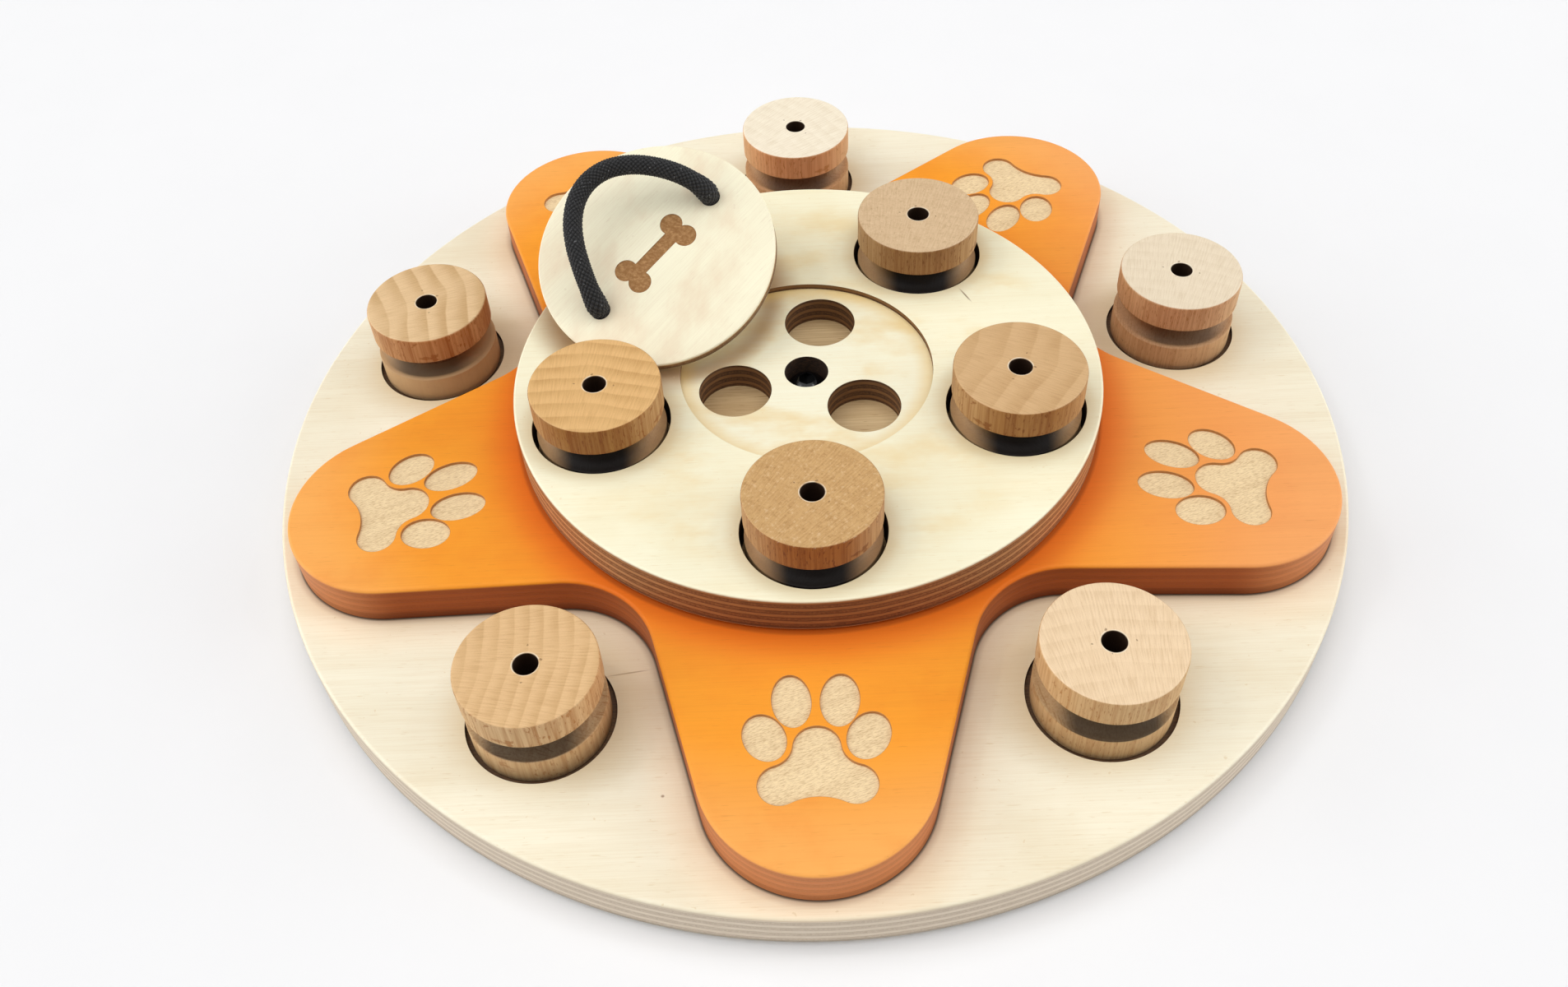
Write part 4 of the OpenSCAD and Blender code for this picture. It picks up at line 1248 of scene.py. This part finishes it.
class FEEDER_OT_turntable(bpy.types.Operator):
    """Makes the birch turntable with its recess, treat cups and peg pockets"""
    bl_idname = "feeder.turntable"
    bl_label = "Turntable"

    def execute(self, context):
        boards, table = context.scene.feeder_boards, context.scene.feeder_turntable
        colours = context.scene.feeder_colours
        lo, hi = box_of("turntable")
        foot, top, radius = lo[2], hi[2], hi[0]
        recess = top - table.recess_depth
        face, edge, cut, floor, cup_wall, cup_floor, burnt = range(7)
        rim = circle(radius, steps=192)
        skin = Skin()
        skin.side(rim, table.edge, foot, top, edge, face)
        mouths, shade_rings = [], []
        pocket_radius = boards.pocket_width / 2
        for k in range(ARMS):
            centre = middle_of(f"turntable_peg_{k + 1}")
            mouths.append(self.hole(skin, circle(0, centre), pocket_radius, boards.mouth, top,
                                    foot + table.pocket_floor, face, cut, cut))
            # Painted shade round each pocket
            shade_rings.append((*centre, pocket_radius, pocket_radius + 5 * MM, 0.45, PEG_SHADE_TINT))
        mid = circle(0, steps=144)
        wide = table.recess_width / 2
        skin.wall(mid, mouth_arc(wide, boards.mouth, top), face)
        skin.wall(mid, [(wide, top - boards.mouth), (wide, recess)], cup_wall)
        mouths.append(grown(mid, wide + boards.mouth))
        cups = []
        for k in range(3):
            cup = circle(0, polar(table.cup_ring, math.degrees(table.cup_turn) + 120 * k), 72)
            cups.append(self.hole(skin, cup, table.cup_width / 2, boards.mouth, recess,
                                  foot + table.cup_floor, floor, cup_wall, cup_floor))
        bore, wide_bore, hole = circle(0, steps=48), table.counterbore / 2, table.bolt_hole / 2
        skin.wall(bore, [
            mouth_arc(wide_bore, boards.mouth, recess), (wide_bore, foot + table.bearing_floor),
            (hole, foot + table.bearing_floor), (hole, foot)], burnt)
        cups.append(grown(bore, wide_bore + boards.mouth))
        skin.flat(grown(rim, -table.edge), mouths, top, face)
        skin.flat(grown(mid, wide), cups, recess, floor)
        skin.flat(grown(rim, -table.edge), [grown(bore, hole)], foot, face, up=False)
        lid = context.scene.feeder_lid
        rest, lid_wide = lid_matrix(lid).translation, lid_radius(lid)
        # Painted shadow under the leaning lid
        lid_shadow = (rest[0], rest[1], lid_wide - 3 * MM, lid_wide + 8 * MM, 0.8, LID_SHADOW_TINT)
        shade_rings.append(lid_shadow)
        ply = (top - foot) / PLIES
        middle, half = (top + foot) / 2, (top - foot) / 2
        stand_in("turntable_birch", skin, [
            veneer_material("Turntable face", colours.birch_warm, linear(238, 218, 170),
                            strength=0.4, stains=(wide - 1 * MM, 78 * MM, linear(246, 224, 172)),
                            burnt_rim=(middle, half - table.edge, half - 0.1 * MM,
                                       linear(150, 92, 46)), shade_rings=shade_rings,
                            marks=((46.8, 27.3, 4.2, 0.35, -64),)),
            # Painted shade at the edge's foot and over the middle of its front
            plies_material("Turntable edge", foot, ply, colours.rim_light,
                           colours.rim_dark, 0.7, foot_shade=linear(64, 30, 14),
                           burnt=(0.5, 0.4, 0.32, 1.0)),
            # Pocket walls nearly black: painted shade over wood the cutter charred
            plies_material("Turntable pocket", foot, ply, linear(46, 30, 20),
                           colours.deep_shade, floor=linear(204, 166, 116)),
            veneer_material("Recess floor", linear(255, 251, 224), linear(240, 214, 160),
                            # Tan clouds on the recess floor: partly stain, partly painted shade
                            # near the recess wall
                            strength=0.35, stains=(14 * MM, 50 * MM, linear(242, 214, 154)),
                            # Painted shadow under the lid, and painted shade at the foot of the
                            # recess wall
                            shade_rings=[(*lid_shadow[:3], lid_wide + 3 * MM, 0.6, LID_SHADOW_TINT),
                                   (0, 0, wide, wide + 1 * MM, 0.5, linear(242, 202, 112))]),
            plies_material("Cup wall", foot, ply, linear(146, 104, 62), linear(74, 46, 26)),
            veneer_material("Cup floor", linear(228, 200, 152), linear(172, 132, 84)),
            # The counterbore's wall is nearly black, with lighter scratches
            scorch_material("Dark bore", linear(40, 26, 17), linear(98, 68, 42)),
        ], "turntable")
        return {"FINISHED"}

    def hole(self, skin, place, radius, mouth, top, floor, mouth_finish, wall_finish,
             floor_finish):
        """A blind hole with a rounded mouth; returns the mouth's ring."""
        skin.wall(place, mouth_arc(radius, mouth, top), mouth_finish)
        skin.wall(place, [(radius, top - mouth), (radius, floor)], wall_finish)
        skin.wall(place, [(radius, floor), (0, floor)], floor_finish)
        return grown(place, radius + mouth)


class FEEDER_OT_pegs(bpy.types.Operator):
    """Turns the ten beech pegs"""
    bl_idname = "feeder.pegs"
    bl_label = "Pegs"

    # Light and side are the colours of the end grain and of the sides. The growth rings have a
    # direction (turn), a strength (rings) and a width in millimetres (ring). Rays, mottle, pale
    # and foot are strengths of the figure, of blotches on the crown, of a pale lower half that is
    # painted light on the lower flange and of painted shade at the foot. Painted shade in the
    # groove (deep_shade) reaches down by shade_depth grooves and out to lip millimetres from the
    # rim, and clears to the sides between two shares of the radius (clear), down to the share
    # side_shade.
    SUNK = dict(deep_shade=1.0, shade_depth=1.6, clear=(0.35, 0.85), side_shade=0, lip=-1, pale=0.65)
    LOOKS = {
        "base_peg_1": dict(light=(250, 239, 217), side=(214, 162, 116), turn=40, rings=0.1,
                           deep_shade=0.8, pale=0.3),
        "base_peg_2": dict(light=(239, 223, 197), side=(208, 160, 118), turn=70, rings=0.1,
                           rays=0.25, deep_shade=0.7, pale=0.35),
        "base_peg_3": dict(light=(244, 216, 179), side=(208, 172, 124), turn=92, rings=0.15,
                           rays=0.35, deep_shade=0.85, clear=(0.5, 0.85), shade_depth=1.1, lip=-1,
                           pale=0.3),
        "base_peg_4": dict(light=(230, 191, 141), side=(214, 180, 134), turn=-4, rings=0.38,
                           ring=3.6, foot=0.4, deep_shade=0.8, clear=(0.45, 0.9), shade_depth=1.05,
                           lip=0, pale=0.3),
        "base_peg_5": dict(light=(235, 201, 155), side=(206, 152, 100), turn=18, rings=0.65,
                           ring=6.0, deep_shade=0.75, pale=0.9),
        "turntable_peg_1": dict(SUNK, light=(220, 190, 152), side=(160, 116, 70), turn=75,
                                rings=0.12, mottle=0.3),
        "turntable_peg_2": dict(SUNK, light=(216, 178, 131), side=(170, 122, 68), turn=-28,
                                rings=0.35, ring=7.0),
        "turntable_peg_3": dict(SUNK, light=(209, 168, 114), side=(158, 98, 46), turn=50,
                                rings=0.15, rays=0.4, mottle=0.4),
        "turntable_peg_4": dict(SUNK, light=(229, 185, 125), side=(164, 116, 60), turn=82,
                                rings=0.5, ring=4.6),
        "turntable_peg_5": dict(light=(228, 192, 144), side=(166, 118, 64), turn=30, rings=0.5,
                                shade_depth=1.3),
    }

    def execute(self, context):
        pegs, colours = context.scene.feeder_pegs, context.scene.feeder_colours
        for node, look in self.LOOKS.items():
            lo, hi = box_of(node)
            skin = Skin()
            profile = self.profile(pegs, lo[2], hi[2], (hi[0] - lo[0]) / 2)
            skin.wall(circle(0, middle_of(node), 128), profile, 0, ring=True)
            beech = beech_material("Beech " + node.replace("_", " "), lo, hi, look, pegs,
                                   colours.deep_shade)
            stand_in(node + "_turned", skin, [beech], node)
        return {"FINISHED"}

    def profile(self, pegs, foot, top, radius):
        """A closed profile: up the outside of both flanges and the groove, down the hole."""
        hole, lip, edge = pegs.hole / 2, pegs.hole_edge, pegs.edge
        groove = pegs.groove / 2
        middle = top - pegs.flange - groove
        soft = pegs.groove_lip
        return [
            arc((hole + lip, foot + lip), lip, 180, 270, 4),
            arc((radius - edge, foot + edge), edge, -90, 0),
            arc((radius - soft, middle - groove - soft), soft, 0, 60, 3),
            arc((radius, middle), groove, 262, 98, 22),
            arc((radius - soft, middle + groove + soft), soft, -60, 0, 3),
            arc((radius - edge, top - edge), edge, 0, 90),
            mouth_arc(hole, lip, top, 4),
        ]


class FEEDER_OT_lid(bpy.types.Operator):
    """Makes the thin lid with its rope holes and a burnt bone mark"""
    bl_idname = "feeder.lid"
    bl_label = "Lid"

    def execute(self, context):
        lid, colours = context.scene.feeder_lid, context.scene.feeder_colours
        radius, top, edge = lid_radius(lid), lid.thickness, lid.edge
        face, rim_finish, burnt = 0, 1, 2
        rim = circle(radius, steps=160)
        skin = Skin()
        skin.side(rim, edge, 0, top, rim_finish, face)
        holes = []
        for side in (0, 180):
            turn = math.degrees(lid.rope_turn) + side
            hole = circle(lid.rope_hole / 2, polar(lid.rope_ring, turn), 48)
            skin.wall(hole, [(0, top), (0, 0)], burnt)
            holes.append(hole[0])
        bone = placed(bone_outline(lid.bone_length), (0, 0), math.degrees(lid.rope_turn))
        skin.wall(bone, [(0, top), (0, top - lid.burn_depth)], burnt)
        skin.flat(bone[0], [], top - lid.burn_depth, burnt)
        skin.flat(grown(rim, -edge), [*holes, bone[0]], top, face)
        skin.flat(grown(rim, -edge), holes, 0, face, up=False)
        place = lid_matrix(lid)
        stand_in("lid_birch", skin, [
            veneer_material("Lid face", colours.birch_warm, linear(232, 216, 186),
                            turn=lid.rope_turn, strength=0.55, place=place,
                            stains=(10 * MM, 50 * MM, linear(238, 216, 184))),
            # The edge's lower part darkened with painted shade
            plies_material("Lid edge", 0.0, top / 3, linear(210, 172, 122),
                           linear(112, 72, 38), place=place, foot_shade=linear(66, 40, 22)),
            scorch_material("Burnt mark", linear(150, 104, 56), linear(206, 160, 104)),
        ], "lid", place)
        return {"FINISHED"}


class FEEDER_OT_pivot(bpy.types.Operator):
    """Makes the black button-head bolt and finishes its washers and tee nut"""
    bl_idname = "feeder.pivot"
    bl_label = "Pivot"

    def execute(self, context):
        table, colours = context.scene.feeder_turntable, context.scene.feeder_colours
        lo, hi = box_of("pivot_bolt")
        head_foot = box_of("head_washer")[1][2]
        head, shank = hi[0], (table.bolt_hole - 0.2 * MM) / 2
        high = hi[2] - head_foot
        rim = high / 4
        steps, mouth = 48, 0.58 * table.socket
        rise = high - rim
        below = (head ** 2 - mouth ** 2 - rise ** 2) / (2 * rise)
        r = np.linspace(head, mouth, 14)
        dome = np.stack([r, head_foot + rim - below + np.sqrt(head ** 2 + below ** 2 - r ** 2)],
                        axis=1)
        skin = Skin()
        bevel, soft = 0.5 * MM, 0.15 * MM
        skin.wall(circle(0, steps=steps), [
            (0, lo[2]), (shank - bevel, lo[2]), (shank, lo[2] + bevel), (shank, head_foot),
            (head - soft, head_foot), (head, head_foot + soft), dome], 0)
        self.socket(skin, dome[-1], table.socket, 0.6 * high, steps)
        metal = metal_material("Black oxide", colours.bolt, 0.16, 0.0)
        stand_in("pivot_bolt_black", skin, [metal], "pivot_bolt")
        zinc = metal_material("Zinc plate", colours.zinc, 0.35, 1.0)
        for node in ("head_washer", "tee_nut"):
            paint_node(node, zinc)
        paint_node("slip_washer", moulded_material("Slip washer", colours.nylon, 0.5))
        return {"FINISHED"}

    def socket(self, skin, crown, across, depth, steps):
        """A hexagonal socket: rings that go from the crown's circle to a hexagon and down.

        A hexagon's distance from its centre is half its width over cos of the angle from the
        nearest flat's middle.
        """
        t = np.linspace(0, 2 * np.pi, steps, endpoint=False)
        out = np.stack([np.cos(t), np.sin(t)], axis=1)
        hexagon = across / 2 / np.cos((t + np.pi / 6) % (np.pi / 3) - np.pi / 6)
        rings = [(crown[0] * np.ones(steps), crown[1]), (hexagon, crown[1]),
                 (hexagon, crown[1] - depth), (0 * hexagon, crown[1] - depth)]
        grid = np.stack([np.concatenate([r[:, None] * out, np.full((steps, 1), z)], axis=1)
                         for r, z in rings])
        skin.grid(grid, 0)


class FEEDER_OT_fixings(bpy.types.Operator):
    """Finishes the screws and the foot pads"""
    bl_idname = "feeder.fixings"
    bl_label = "Screws and feet"

    def execute(self, context):
        colours = context.scene.feeder_colours
        paint_node("star_screws", metal_material("Zinc screws", colours.zinc, 0.4, 1.0))
        rubber = moulded_material("Foot rubber", colours.rubber, 0.8)
        for k in range(ARMS):
            paint_node(f"foot_{k + 1}", rubber)
        return {"FINISHED"}


class FEEDER_PT_panel(bpy.types.Panel):
    """Lists the feeder's settings and the steps that build it"""
    bl_label = "Puzzle feeder"
    bl_idname = "FEEDER_PT_panel"
    bl_space_type = "VIEW_3D"
    bl_region_type = "UI"
    bl_category = "Puzzle feeder"

    def draw(self, context):
        for step in STEPS:
            self.layout.operator(step.bl_idname)
        for name, settings in SETTINGS.items():
            box = self.layout.box()
            box.label(text=settings.__doc__)
            for field in settings.__annotations__:
                box.prop(getattr(context.scene, name), field)


SETTINGS = {"feeder_boards": FeederBoards, "feeder_turntable": FeederTurntable,
            "feeder_pegs": FeederPegs, "feeder_lid": FeederLid, "feeder_colours": FeederColours,
            "feeder_stage": FeederStage}
STEPS = (FEEDER_OT_stage, FEEDER_OT_rope, FEEDER_OT_base, FEEDER_OT_star, FEEDER_OT_turntable,
         FEEDER_OT_pegs, FEEDER_OT_lid, FEEDER_OT_pivot, FEEDER_OT_fixings)
CLASSES = (*SETTINGS.values(), *STEPS, FEEDER_PT_panel)


def register():
    for cls in CLASSES:
        bpy.utils.register_class(cls)
    for name, settings in SETTINGS.items():
        setattr(bpy.types.Scene, name, PointerProperty(type=settings))


def unregister():
    for name in SETTINGS:
        delattr(bpy.types.Scene, name)
    for cls in reversed(CLASSES):
        bpy.utils.unregister_class(cls)


def main():
    register()
    for step in STEPS:
        family, name = step.bl_idname.split(".")
        getattr(getattr(bpy.ops, family), name)()


if __name__ == "__main__":
    main()
